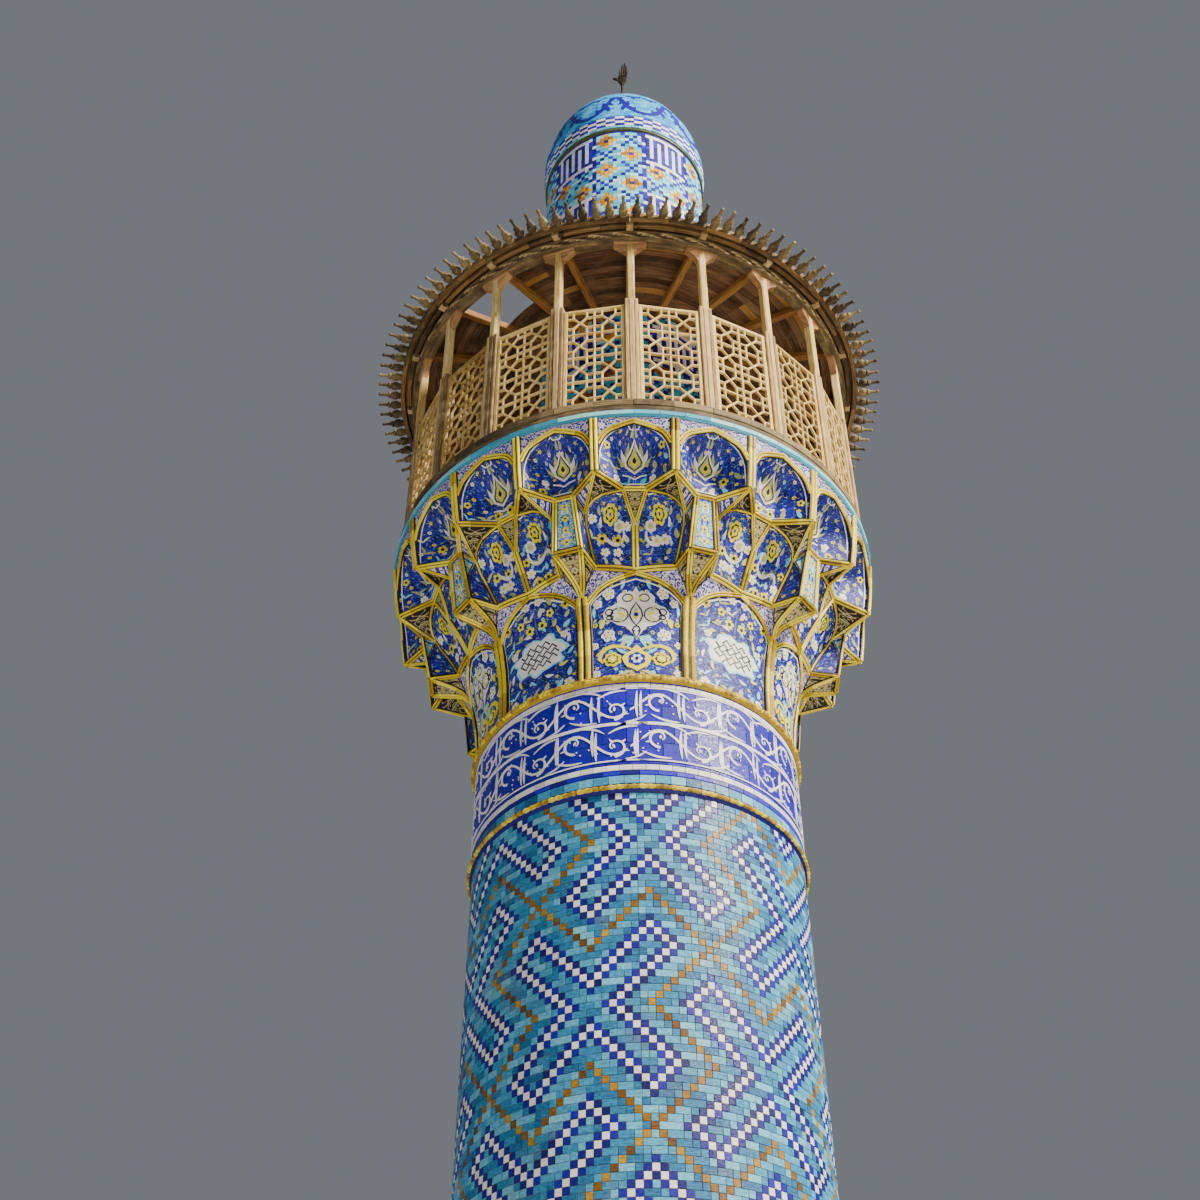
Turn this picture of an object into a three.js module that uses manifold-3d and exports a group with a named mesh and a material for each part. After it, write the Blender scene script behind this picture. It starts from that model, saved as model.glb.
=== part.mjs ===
/**
 * A glazed-brick minaret: a hollow round shaft, a ten-fold muqarnas cornice, a timber gallery
 * with twenty posts and lattice panels, a boarded roof with one open bay, and a tiled drum
 * under a pointed turquoise dome. Millimetres, +Z up on the tower's axis, ground at z = 0.
 * Bearings are degrees from -Y towards +X.
 */
import * as THREE from 'three';
import { ConvexGeometry } from 'three/addons/geometries/ConvexGeometry.js';
import { mergeVertices } from 'three/addons/utils/BufferGeometryUtils.js';
import Module from 'manifold-3d';

// Gaps left between neighbouring pieces
const seam = 0.3;
const seamAngle = 0.01;

// Shaft
const boreRadius = 900;
const plinthRadius = 1560;
const plinthHeight = 520;
const footRadius = 1500;
const neckRadius = 1465;
const shaftTop = 9900;
const shaftSides = 60;
const plinthStep = 40;
const plinthLedge = 8;
const doorWidth = 760;
const doorSpring = 1500;
const doorCrown = 2050;
const jambBearing = 150;

// Frieze and neck cornice
const friezeRadius = 1482;
const friezeTop = 11060;
const corniceRadius = 1520;
const corniceTop = 11130;

// Muqarnas, turquoise ring and gallery floor
const muqarnasTop = 13470;
const turquoiseTop = 13560;
const turquoiseRadius = 2436;
const floorTop = 13600;
const floorRadius = 2290;

// Gallery
const bays = 20;
const bayAngle = 360 / bays;
const sillTop = 13730;
const sillRadius = 2418;
const newelTop = 15270;
const newelWidth = 130;
const postRadius = 2362;
const postWidth = 76;
const capitalBase = 16040;
const capitalWidth = 340;
const headBase = 16220;
const headTop = 16340;
const headRadius = 2450;
const panelTop = 15200;
const panelThickness = 35;
const panelInside = 2327;
const panelHalfWidth = 302.3;
const panelColumns = 2;
const panelRows = 4;
const railWidth = 42;
const barWidth = 26;

// Roof
const eaveInside = 2505;
const eaveRadius = 2592;
const eaveBase = 16345;
const eaveTop = 16440;
const spikesPerBay = 6;
const spikeTip = 2852;
const roofSlope = 0.25;
const boardThickness = 30;
const rafterDepth = 90;
const rafterWidth = 70;
const roofSectors = 5;
const sectorAngle = 360 / roofSectors;
const firstSector = bayAngle / 2;
const openBay = -45;
const openHalfAngle = 8.3;
const openInside = 1640;
const openOutside = 2405;

// Drum, dome and finial
const drumRadius = 1000;
const drumBore = 750;
const drumTop = 20560;
const drumDoorWidth = 580;
const drumDoorSpring = 15100;
const drumDoorCrown = 15450;
const collarTop = 20840;
const domeRadius = 1050;
const domeRise = 1470;
const domePoint = 90;
const domeThickness = 170;
const rodRadius = 20;
const palmBase = 23400;
const palmThickness = 24;
const finialTip = 23980;

// Bearings and radii to points
const toRadians = (degrees) => THREE.MathUtils.degToRad(degrees);

function at(radius, bearing, z) {
  const angle = toRadians(bearing);
  return new THREE.Vector3(radius * Math.sin(angle), -radius * Math.cos(angle), z);
}

// Closed solids and their joins
const wasm = await Module();
wasm.setup();

function faced(positions, index) {
  let volume = 0;
  const corner = [new THREE.Vector3(), new THREE.Vector3(), new THREE.Vector3()];
  for (let start = 0; start < index.length; start += 3) {
    corner.forEach((point, side) => point.fromArray(positions, 3 * index[start + side]));
    volume += corner[0].dot(corner[1].cross(corner[2]));
  }
  if (volume > 0) return index;
  const turned = [];
  for (let start = 0; start < index.length; start += 3) {
    turned.push(index[start], index[start + 2], index[start + 1]);
  }
  return turned;
}

function solid(geometry) {
  const bare = geometry.clone();
  bare.deleteAttribute('normal');
  bare.deleteAttribute('uv');
  const merged = mergeVertices(bare, 0.001);
  const index = merged.index.array;
  const kept = [];
  for (let start = 0; start < index.length; start += 3) {
    const [first, second, third] = index.slice(start, start + 3);
    if (first !== second && second !== third && third !== first) kept.push(first, second, third);
  }
  const positions = merged.attributes.position.array;
  return new wasm.Manifold(new wasm.Mesh({
    numProp: 3,
    vertProperties: Float32Array.from(positions),
    triVerts: Uint32Array.from(faced(positions, kept)),
  }));
}

function geometryOf(body) {
  const mesh = body.getMesh();
  const geometry = new THREE.BufferGeometry();
  geometry.setAttribute('position', new THREE.BufferAttribute(mesh.vertProperties, 3));
  geometry.setIndex(new THREE.BufferAttribute(mesh.triVerts, 1));
  geometry.computeVertexNormals();
  return geometry;
}

const joined = (bodies) => bodies.reduce((whole, body) => whole.add(body));

// A profile of [radius, height] points turned about the tower's axis
function turned(profile, sides = shaftSides) {
  const points = profile.map(([radius, z]) => new THREE.Vector2(radius, z));
  points.push(points[0].clone());
  return solid(new THREE.LatheGeometry(points, sides).rotateX(Math.PI / 2));
}

const ring = (inside, outside, base, top, sides) => (
  turned([[inside, base], [outside, base], [outside, top], [inside, top]], sides)
);

// The part of a turned body between two bearings, a seam short of each
function between(body, from, to, base, top) {
  const reach = 4000;
  const steps = Math.ceil((to - from) / 30);
  const outline = [new THREE.Vector2(0, 0)];
  for (let step = 0; step <= steps; step += 1) {
    const bearing = from + seamAngle + (to - from - 2 * seamAngle) * (step / steps);
    const point = at(reach, bearing, 0);
    outline.push(new THREE.Vector2(point.x, point.y));
  }
  const wedge = new THREE.ExtrudeGeometry(new THREE.Shape(outline), {
    depth: top - base,
    bevelEnabled: false,
  });
  return body.intersect(solid(wedge.translate(0, 0, base)));
}

// A pointed doorway as a cutter through a round wall on the +Y side, past both of its faces
function doorway(width, base, spring, crown, wallInside, wallOutside) {
  const half = width / 2;
  const inside = wallInside / 2;
  const outside = wallOutside + wallInside / 2;
  const shape = new THREE.Shape();
  shape.moveTo(-half, base);
  shape.lineTo(half, base);
  shape.lineTo(half, spring);
  shape.quadraticCurveTo(half, spring + 0.65 * (crown - spring), 0, crown);
  shape.quadraticCurveTo(-half, spring + 0.65 * (crown - spring), -half, spring);
  const cutter = new THREE.ExtrudeGeometry(shape, {
    depth: outside - inside,
    bevelEnabled: false,
    curveSegments: 5,
  });
  return solid(cutter.rotateX(Math.PI / 2).translate(0, outside, 0));
}

// Materials
const tileTurquoise = new THREE.MeshStandardMaterial({ color: 0x4fa9c4, roughness: 0.35, metalness: 0 });
const tileCobalt = new THREE.MeshStandardMaterial({ color: 0x1c2f9a, roughness: 0.3, metalness: 0 });
const tileGold = new THREE.MeshStandardMaterial({ color: 0xc9a13c, roughness: 0.4, metalness: 0 });
const tilePale = new THREE.MeshStandardMaterial({ color: 0xbcd6de, roughness: 0.35, metalness: 0 });
const tileSky = new THREE.MeshStandardMaterial({ color: 0x63bfd6, roughness: 0.3, metalness: 0 });
const timberGrey = new THREE.MeshStandardMaterial({ color: 0xa88d63, roughness: 0.8, metalness: 0 });
const timberPale = new THREE.MeshStandardMaterial({ color: 0xc9b083, roughness: 0.8, metalness: 0 });
const timberDark = new THREE.MeshStandardMaterial({ color: 0x4e3826, roughness: 0.85, metalness: 0 });
const bronze = new THREE.MeshStandardMaterial({ color: 0x4a4030, roughness: 0.5, metalness: 0.8 });
const brickFloor = new THREE.MeshStandardMaterial({ color: 0xb59a72, roughness: 0.9, metalness: 0 });

const minaret = new THREE.Group();

function place(name, geometry, material, bearing = 0) {
  const mesh = new THREE.Mesh(geometry, material);
  mesh.name = name;
  mesh.rotation.z = toRadians(bearing);
  minaret.add(mesh);
}

// Shaft: five lengths of wall and the masonry over the door at the back
function addShaft() {
  const wall = turned([
    [boreRadius, 0], [plinthRadius, 0], [plinthRadius, plinthHeight - plinthStep],
    [footRadius + plinthLedge, plinthHeight], [neckRadius, shaftTop], [boreRadius, shaftTop],
  ]);
  const door = doorway(doorWidth, -plinthStep, doorSpring, doorCrown, boreRadius, plinthRadius);
  const panel = geometryOf(between(wall, -36, 36, 0, shaftTop));
  place('shaft_wall_front', panel, tileTurquoise);
  place('shaft_wall_right', panel, tileTurquoise, 72);
  place('shaft_wall_left', panel, tileTurquoise, -72);

  const lowJamb = between(wall, 108, 180, 0, doorSpring).subtract(door);
  const jamb = lowJamb.add(between(wall, 108, jambBearing, 0, shaftTop));
  place('door_jamb_right', geometryOf(jamb), tileTurquoise);
  place('door_jamb_left', geometryOf(jamb.mirror([1, 0, 0])), tileTurquoise);
  const over = between(wall, jambBearing, 360 - jambBearing, doorSpring + seam, shaftTop);
  place('wall_over_door', geometryOf(over.subtract(door)), tileTurquoise);
}

// Frieze band and the rope cornice at the neck
function addNeck() {
  const base = shaftTop + seam;
  const frieze = turned([
    [boreRadius, base], [friezeRadius - 10, base], [friezeRadius + 12, base + 30],
    [friezeRadius, base + 60], [friezeRadius, friezeTop], [boreRadius, friezeTop],
  ]);
  place('frieze_ring', geometryOf(frieze), tileCobalt);
  const foot = friezeTop + seam;
  const cornice = turned([
    [boreRadius, foot], [friezeRadius + 6, foot], [corniceRadius, foot + 24],
    [corniceRadius, corniceTop - 22], [friezeRadius - 2, corniceTop], [boreRadius, corniceTop],
  ]);
  place('neck_cornice', geometryOf(cornice), tileGold);
}

// Muqarnas: half of one sector as [radius, bearing, z] points, mirrored about its middle
const halfSector = {
  footMid: [1455, 0, corniceTop + seam],
  footHalf: [1456, 9, corniceTop + seam],
  footRib: [1470, 18, corniceTop + seam],
  panelMid: [1502, 0, 11750],
  panelHalf: [1504, 9, 11750],
  ribTop: [1578, 18, 12040],
  haunch: [1586, 10, 12120],
  nicheFoot: [1655, 0, 12240],
  nicheCorner: [1705, 12.46, 12270],
  bracketCorner: [1982, 14.4, 12260],
  bracketFoot: [1978, 18, 12260],
  hangingTip: [1870, 0, 12600],
  nicheFold: [1800, 8.2, 12600],
  shoulder: [1960, 13.6, 12720],
  cellFoot: [2335, 9, 12860],
  innerCorner: [2028, 3.09, 12920],
  innerMid: [2025, 0, 12920],
  bracketTop: [2095, 15.64, 12830],
  bracketTopMid: [2093, 18, 12830],
  cellMid: [2120, 0, 13200],
  cellFold: [2130, 3.3, 13200],
  cellSide: [2378, 8.4, 13200],
  sideCellFold: [2140, 14.8, 13190],
  sideCellMid: [2130, 18, 13190],
  crownMid: [2390, 0, muqarnasTop],
  crownRib: [2418, 9, muqarnasTop],
  crownSide: [2390, 18, muqarnasTop],
};

const halfFacets = [
  ['footMid', 'footHalf', 'panelHalf'], ['footMid', 'panelHalf', 'panelMid'],
  ['footHalf', 'footRib', 'ribTop'], ['footHalf', 'ribTop', 'panelHalf'],
  ['panelHalf', 'ribTop', 'haunch'], ['panelMid', 'panelHalf', 'haunch'],
  ['panelMid', 'haunch', 'nicheFoot'], ['haunch', 'nicheCorner', 'nicheFoot'],
  ['haunch', 'ribTop', 'nicheCorner'], ['ribTop', 'bracketCorner', 'nicheCorner'],
  ['ribTop', 'bracketFoot', 'bracketCorner'],
  ['bracketFoot', 'bracketTopMid', 'bracketTop'], ['bracketFoot', 'bracketTop', 'bracketCorner'],
  ['nicheFoot', 'nicheCorner', 'nicheFold'], ['nicheFoot', 'nicheFold', 'hangingTip'],
  ['nicheCorner', 'bracketCorner', 'shoulder'], ['nicheCorner', 'shoulder', 'nicheFold'],
  ['hangingTip', 'nicheFold', 'innerCorner'], ['hangingTip', 'innerCorner', 'innerMid'],
  ['nicheFold', 'shoulder', 'innerCorner'], ['shoulder', 'cellFoot', 'innerCorner'],
  ['bracketCorner', 'bracketTop', 'shoulder'], ['bracketTop', 'cellFoot', 'shoulder'],
  ['innerMid', 'innerCorner', 'cellFold'], ['innerMid', 'cellFold', 'cellMid'],
  ['innerCorner', 'cellFoot', 'cellFold'], ['cellFoot', 'cellSide', 'cellFold'],
  ['cellMid', 'cellFold', 'crownMid'], ['cellFold', 'cellSide', 'crownMid'],
  ['cellSide', 'crownRib', 'crownMid'],
  ['cellFoot', 'bracketTop', 'sideCellFold'], ['cellFoot', 'sideCellFold', 'cellSide'],
  ['bracketTop', 'bracketTopMid', 'sideCellMid'], ['bracketTop', 'sideCellMid', 'sideCellFold'],
  ['cellSide', 'sideCellFold', 'crownSide'], ['sideCellFold', 'sideCellMid', 'crownSide'],
  ['cellSide', 'crownSide', 'crownRib'],
];

// One sector: the facets in front, the bore behind, and flat faces all round between them
function muqarnasSector() {
  const names = Object.keys(halfSector);
  const edge = bayAngle - seamAngle;
  const points = [];
  const numberOf = {};
  names.forEach((name) => {
    const [radius, bearing, z] = halfSector[name];
    [1, -1].forEach((side) => {
      if (side < 0 && bearing === 0) {
        numberOf[`${name}-1`] = numberOf[`${name}1`];
        return;
      }
      numberOf[`${name}${side}`] = points.length;
      points.push([radius, side * Math.min(bearing, edge), z]);
    });
  });

  const front = [];
  halfFacets.forEach(([first, second, third]) => {
    front.push([numberOf[`${first}1`], numberOf[`${second}1`], numberOf[`${third}1`]]);
    front.push([numberOf[`${first}-1`], numberOf[`${third}-1`], numberOf[`${second}-1`]]);
  });

  const count = points.length;
  const index = [];
  const open = new Map();
  front.forEach((facet) => {
    index.push(...facet);
    index.push(facet[0] + count, facet[2] + count, facet[1] + count);
    facet.forEach((start, side) => {
      const end = facet[(side + 1) % 3];
      if (!open.delete(`${end},${start}`)) open.set(`${start},${end}`, [start, end]);
    });
  });
  open.forEach(([start, end]) => {
    index.push(start, end + count, end);
    index.push(start, start + count, end + count);
  });

  const positions = [];
  points.forEach(([radius, bearing, z]) => positions.push(...at(radius, bearing, z)));
  points.forEach(([, bearing, z]) => positions.push(...at(boreRadius, bearing, z)));
  const geometry = new THREE.BufferGeometry();
  geometry.setAttribute('position', new THREE.Float32BufferAttribute(positions, 3));
  geometry.setIndex(index);
  return solid(geometry);
}

function addMuqarnas() {
  const sector = geometryOf(muqarnasSector());
  for (let number = 0; number < bays / 2; number += 1) {
    place(`muqarnas_sector_${number + 1}`, sector, tileCobalt, number * 2 * bayAngle);
  }
  const base = muqarnasTop + seam;
  const crown = turned([
    [floorRadius, base], [turquoiseRadius - 12, base], [turquoiseRadius, base + 20],
    [turquoiseRadius, turquoiseTop - 12], [turquoiseRadius - 12, turquoiseTop], [floorRadius, turquoiseTop],
  ]);
  place('turquoise_ring', geometryOf(crown), tileSky);
  place('gallery_floor', geometryOf(ring(drumBore, floorRadius - seam, base, floorTop)), brickFloor);
}

// Gallery frame: one sector of sill and head beam with its four posts
function block(width, depth, base, top, radius, bearing) {
  const box = new THREE.BoxGeometry(width, depth, top - base);
  box.translate(0, -radius, (base + top) / 2);
  return solid(box.rotateZ(toRadians(bearing)));
}

function capital(bearing) {
  const corners = [];
  [[postWidth / 2, capitalBase], [capitalWidth / 2, headBase - 30], [capitalWidth / 2, headBase + 20]]
    .forEach(([half, z]) => {
      const depth = Math.min(half, 62);
      [-half, half].forEach((x) => [-depth, depth].forEach((y) => {
        corners.push(new THREE.Vector3(x, y - postRadius - 2, z));
      }));
    });
  return solid(new ConvexGeometry(corners).rotateZ(toRadians(bearing)));
}

function galleryFrame() {
  const half = sectorAngle / 2;
  const sill = ring(floorRadius + 10, sillRadius, turquoiseTop + seam, sillTop);
  const head = ring(headRadius - 130, headRadius, headBase, headTop);
  const parts = [
    between(sill, -half, half, turquoiseTop, sillTop),
    between(head, -half, half, headBase, headTop),
  ];
  [-1.5, -0.5, 0.5, 1.5].forEach((number) => {
    const bearing = number * bayAngle;
    parts.push(block(newelWidth, 90, sillTop - 20, newelTop, postRadius, bearing));
    parts.push(block(postWidth, postWidth, newelTop - 20, capitalBase + 20, postRadius, bearing));
    parts.push(capital(bearing));
  });
  return joined(parts);
}

function bar(left, right, low, high, thickness) {
  const box = new THREE.BoxGeometry(right - left, thickness, high - low);
  const middle = panelInside + panelThickness / 2;
  return solid(box.translate((left + right) / 2, -middle, (low + high) / 2));
}

function latticePanel() {
  const low = sillTop + seam;
  const high = panelTop;
  const half = panelHalfWidth;
  const sash = bar(-half, half, low, high, panelThickness);
  const glassless = bar(
    -half + railWidth,
    half - railWidth,
    low + railWidth,
    high - railWidth,
    2 * panelThickness,
  );
  const bars = [sash.subtract(glassless)];
  const thickness = panelThickness - 10;
  for (let column = 1; column < panelColumns; column += 1) {
    const x = -half + (2 * half * column) / panelColumns;
    bars.push(bar(x - barWidth / 2, x + barWidth / 2, low + 10, high - 10, thickness));
  }
  for (let row = 1; row < panelRows; row += 1) {
    const z = low + ((high - low) * row) / panelRows;
    bars.push(bar(-half + 10, half - 10, z - barWidth / 2, z + barWidth / 2, thickness));
  }
  return joined(bars);
}

function addGallery() {
  const frame = geometryOf(galleryFrame());
  for (let number = 0; number < roofSectors; number += 1) {
    place(`gallery_frame_${number + 1}`, frame, timberGrey, firstSector + number * sectorAngle);
  }
  const panel = geometryOf(latticePanel());
  for (let number = 0; number < bays; number += 1) {
    place(`lattice_panel_${number + 1}`, panel, timberPale, (number + 0.5) * bayAngle);
  }
}

// Eave: the outer ring, its soffit, the blocks over the posts and the turned spikes
function spike(bearing) {
  const base = eaveRadius - 12;
  const profile = [[0, 0], [24, 0], [48, 85], [14, spikeTip - base], [0, spikeTip - base]];
  const points = profile.map(([radius, length]) => new THREE.Vector2(radius, length));
  const turnedSpike = new THREE.LatheGeometry(points, 4).rotateY(Math.PI / 4).rotateX(Math.PI);
  turnedSpike.translate(0, -base, (eaveBase + eaveTop) / 2);
  return solid(turnedSpike.rotateZ(toRadians(bearing)));
}

function addEave() {
  const soffit = 50;
  const parts = [turned([
    [headRadius + 10, eaveTop - soffit], [eaveInside, eaveTop - soffit], [eaveInside, eaveBase],
    [eaveRadius, eaveBase], [eaveRadius, eaveTop], [headRadius + 10, eaveTop],
  ])];
  for (let bay = 0; bay < bays; bay += 1) {
    const bearing = bay * bayAngle;
    const middle = (headRadius + eaveInside) / 2;
    parts.push(block(60, eaveInside - headRadius - 10, eaveBase + 10, eaveTop - 20, middle, bearing));
    for (let number = 0; number < spikesPerBay; number += 1) {
      parts.push(spike(bearing + ((number + 0.5) * bayAngle) / spikesPerBay));
    }
  }
  place('eave_ring', geometryOf(joined(parts)), timberDark);
}

// Roof: boards on radial rafters, from the eave up to the drum
const boardsAt = (radius) => eaveTop + seam + (eaveRadius - 20 - radius) * roofSlope;

function rafter(bearing) {
  const inner = drumRadius + 2;
  const sunk = 5;
  const corners = [
    [inner, boardsAt(inner) + sunk], [inner, boardsAt(inner) - rafterDepth],
    [headRadius - 120, boardsAt(headRadius - 120) - rafterDepth], [headRadius - 100, headTop + seam],
    [headRadius, headTop + seam], [headRadius, boardsAt(headRadius) + sunk],
  ].flatMap(([radius, z]) => [-1, 1].map((side) => (
    new THREE.Vector3((side * rafterWidth) / 2, -radius, z)
  )));
  return solid(new ConvexGeometry(corners).rotateZ(toRadians(bearing)));
}

function roofSector(withOpening) {
  const half = sectorAngle / 2;
  const inner = drumRadius + 1.5;
  const outer = eaveRadius - 20;
  const boards = turned([
    [inner, boardsAt(inner)], [outer, boardsAt(outer)],
    [outer, boardsAt(outer) + boardThickness], [inner, boardsAt(inner) + boardThickness],
  ]);
  const base = eaveTop;
  const top = boardsAt(inner) + boardThickness;
  let cover = between(boards, -half, half, base, top);
  if (withOpening) {
    const gap = ring(openInside, openOutside, base - boardThickness, top + boardThickness);
    const hole = between(gap, -openHalfAngle, openHalfAngle, base, top);
    cover = cover.subtract(hole.rotate([0, 0, openBay - firstSector - (roofSectors - 1) * sectorAngle]));
  }
  const rafters = [-1.5, -0.5, 0.5, 1.5].map((number) => rafter(number * bayAngle));
  return joined([cover, ...rafters]);
}

function addRoof() {
  const whole = geometryOf(roofSector(false));
  const open = geometryOf(roofSector(true));
  for (let number = 0; number < roofSectors; number += 1) {
    const geometry = number === roofSectors - 1 ? open : whole;
    place(`roof_sector_${number + 1}`, geometry, timberDark, firstSector + number * sectorAngle);
  }
}

// Drum, collar, dome and finial
function addDrum() {
  const base = floorTop + seam;
  const drum = ring(drumBore, drumRadius, base, drumTop);
  const door = doorway(
    drumDoorWidth,
    base - plinthStep,
    drumDoorSpring,
    drumDoorCrown,
    drumBore,
    drumRadius,
  );
  place('drum', geometryOf(drum.subtract(door)), tilePale);
  const foot = drumTop + seam;
  const collar = turned([
    [drumBore, foot], [drumRadius + 8, foot], [drumRadius + 26, foot + 22], [drumRadius + 8, foot + 46],
    [domeRadius - 22, foot + 60], [domeRadius - 2, collarTop], [drumBore, collarTop],
  ]);
  place('drum_collar', geometryOf(collar), tilePale);
}

function domeProfile(radius, rise, steps) {
  const points = [];
  for (let step = 0; step <= steps; step += 1) {
    const angle = (step / steps) * (Math.PI / 2);
    const point = domePoint * Math.max(0, step / steps - 0.7) / 0.3;
    points.push([radius * Math.cos(angle), collarTop + seam + rise * Math.sin(angle) + point]);
  }
  points[steps][0] = 0;
  return points;
}

function addDome() {
  const outside = domeProfile(domeRadius, domeRise, 12);
  const inside = domeProfile(domeRadius - domeThickness, domeRise - domeThickness, 8);
  const shell = turned([...outside, ...inside.reverse()], 40);
  place('dome', geometryOf(shell), tileSky);
}

function addFinial() {
  const base = collarTop + domeRise + domePoint + 2 * seam;
  const rod = turned([
    [0, base], [46, base], [52, base + 60], [rodRadius, base + 110], [rodRadius, base + 300],
    [3 * rodRadius, base + 370], [rodRadius, base + 440], [16, palmBase + 40], [0, palmBase + 40],
  ], 12);
  const outline = [
    [-30, 0], [30, 0], [70, 170], [78, 460], [52, finialTip - palmBase], [0, finialTip - palmBase - 40],
    [-30, 400], [-60, 190], [-125, 160], [-130, 110], [-60, 60],
  ];
  const leaf = new THREE.Shape(outline.map(([x, z]) => new THREE.Vector2(x, palmBase + z)));
  const hand = new THREE.ExtrudeGeometry(leaf, { depth: palmThickness, bevelEnabled: false });
  const body = rod.add(solid(hand.rotateX(Math.PI / 2).translate(0, palmThickness / 2, 0)));
  place('finial', geometryOf(body), bronze);
}

addShaft();
addNeck();
addMuqarnas();
addGallery();
addEave();
addRoof();
addDrum();
addDome();
addFinial();

export default minaret;
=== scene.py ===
"""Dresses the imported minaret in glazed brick, tile ornament, carved timber and bronze. Metres, +Z up.
Bearings are degrees from -Y towards +X, as in the part's source."""
import random
from math import cos, degrees, hypot, pi, radians, sin, sqrt

import bpy
from mathutils import Matrix, Vector


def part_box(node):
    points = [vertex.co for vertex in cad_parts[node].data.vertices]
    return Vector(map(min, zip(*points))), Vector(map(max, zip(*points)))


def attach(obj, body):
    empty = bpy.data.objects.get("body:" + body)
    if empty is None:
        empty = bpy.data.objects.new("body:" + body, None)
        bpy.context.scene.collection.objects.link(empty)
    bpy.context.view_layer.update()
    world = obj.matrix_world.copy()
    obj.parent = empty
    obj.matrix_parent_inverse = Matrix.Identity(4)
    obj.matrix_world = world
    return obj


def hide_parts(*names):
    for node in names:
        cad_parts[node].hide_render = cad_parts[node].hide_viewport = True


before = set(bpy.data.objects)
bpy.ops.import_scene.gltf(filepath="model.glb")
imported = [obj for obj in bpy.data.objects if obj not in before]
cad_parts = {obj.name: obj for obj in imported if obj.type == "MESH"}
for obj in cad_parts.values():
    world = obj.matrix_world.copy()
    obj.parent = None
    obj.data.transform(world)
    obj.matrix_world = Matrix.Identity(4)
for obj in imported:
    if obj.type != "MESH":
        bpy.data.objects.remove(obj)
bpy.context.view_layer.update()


# Places worked out from the frame
def top_of(node):
    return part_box(node)[1].z


def reach_of(node):
    """Half the width of a round node."""
    low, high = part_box(node)
    return (high.x - low.x) / 2


def polar(radius, bearing, height):
    angle = radians(bearing)
    return Vector((radius * sin(angle), -radius * cos(angle), height))


SHAFT_TOP = top_of("shaft_wall_front")
PLINTH_RADIUS = 1.56
PLINTH_TOP = 0.52
FOOT_RADIUS = 1.508
NECK_RADIUS = 1.465
FRIEZE_RADIUS = 1.482
CORNICE_REACH = reach_of("neck_cornice")
MUQARNAS_TOP = top_of("muqarnas_sector_1")
TURQUOISE_TOP = top_of("turquoise_ring")
TURQUOISE_RADIUS = reach_of("turquoise_ring")
FLOOR_TOP = top_of("gallery_floor")
DRUM_RADIUS = reach_of("drum")
DRUM_TOP = top_of("drum")
DOME_RADIUS = reach_of("dome")
DOME_TOP = top_of("dome")
BAYS = 20
BAY = 360 / BAYS


def wall_at(height):
    """Radius of the shaft, which narrows from its foot to the neck."""
    if height < PLINTH_TOP - 0.04:
        return PLINTH_RADIUS
    share = (height - PLINTH_TOP) / (SHAFT_TOP - PLINTH_TOP)
    return FOOT_RADIUS + (NECK_RADIUS - FOOT_RADIUS) * share


def drum_at(_):
    return DRUM_RADIUS


# The camera stands where the photographer stood, looking up at the neck and gallery
CAMERA_PLACE = (-0.26, -12.752, 1.6)
CAMERA_TURNS = ((0.32, "Z"), (90 + 42.8, "X"), (-0.14, "Z"))
FLOOR_REACH = 60
# Name, bearing, distance, height, height aimed at, size, power and colour
LIGHTS = [
    ("key", 54, 28, 32, 13, 6, 35000, "fff3e0"),
    ("fill", -60, 24, 8, 12, 10, 450, "c4d4ff"),
    ("under", 18, 14, 1.2, 14, 8, 700, "fff6e6"),
]


def add_object(name, data):
    thing = bpy.data.objects.new(name, data)
    bpy.context.scene.collection.objects.link(thing)
    return thing


def add_camera():
    data = bpy.data.cameras.new("camera")
    data.sensor_width = 36
    data.lens = 51
    data.clip_end = 200
    camera = add_object("camera", data)
    heading, pitch, roll = (Matrix.Rotation(radians(angle), 4, axis) for angle, axis in CAMERA_TURNS)
    camera.matrix_world = Matrix.Translation(CAMERA_PLACE) @ (heading @ pitch @ roll)
    bpy.context.scene.camera = camera


def add_stage():
    """Plain pale floor, plain surround and soft studio light."""
    mesh = bpy.data.meshes.new("floor")
    corners = [(x * FLOOR_REACH, y * FLOOR_REACH, 0) for x, y in ((-1, -1), (1, -1), (1, 1), (-1, 1))]
    mesh.from_pydata(corners, [], QUAD)
    paint = Paint("floor_grey")
    paint.finish({"Base Color": colour("d9d7d2"), "Roughness": 0.9})
    mesh.materials.append(paint.material)
    ground = add_object("floor", mesh)

    world = bpy.data.worlds.new("surround")
    bpy.context.scene.world = world
    world.use_nodes = True
    world.node_tree.nodes["Background"].inputs["Color"].default_value = colour("dde4f0")
    world.node_tree.nodes["Background"].inputs["Strength"].default_value = 0.24

    for name, bearing, distance, height, aim, size, power, tint in LIGHTS:
        data = bpy.data.lights.new(name, "AREA")
        data.shape = "DISK"
        data.size = size
        data.energy = power
        data.color = colour(tint)[:3]
        lamp = add_object(name, data)
        lamp.location = polar(distance, bearing, height)
        lamp.rotation_euler = (Vector((0, 0, aim)) - lamp.location).to_track_quat("-Z", "Y").to_euler()


# Materials
EVEN = (0, 0.5, 1)


def colour(code):
    """A colour written as sRGB hexadecimal, as the linear value that the shader takes."""
    channels = [int(code[place:place + 2], 16) / 255 for place in (0, 2, 4)]
    linear = [value / 12.92 if value <= 0.04045 else ((value + 0.055) / 1.055) ** 2.4 for value in channels]
    return (*linear, 1)


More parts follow.
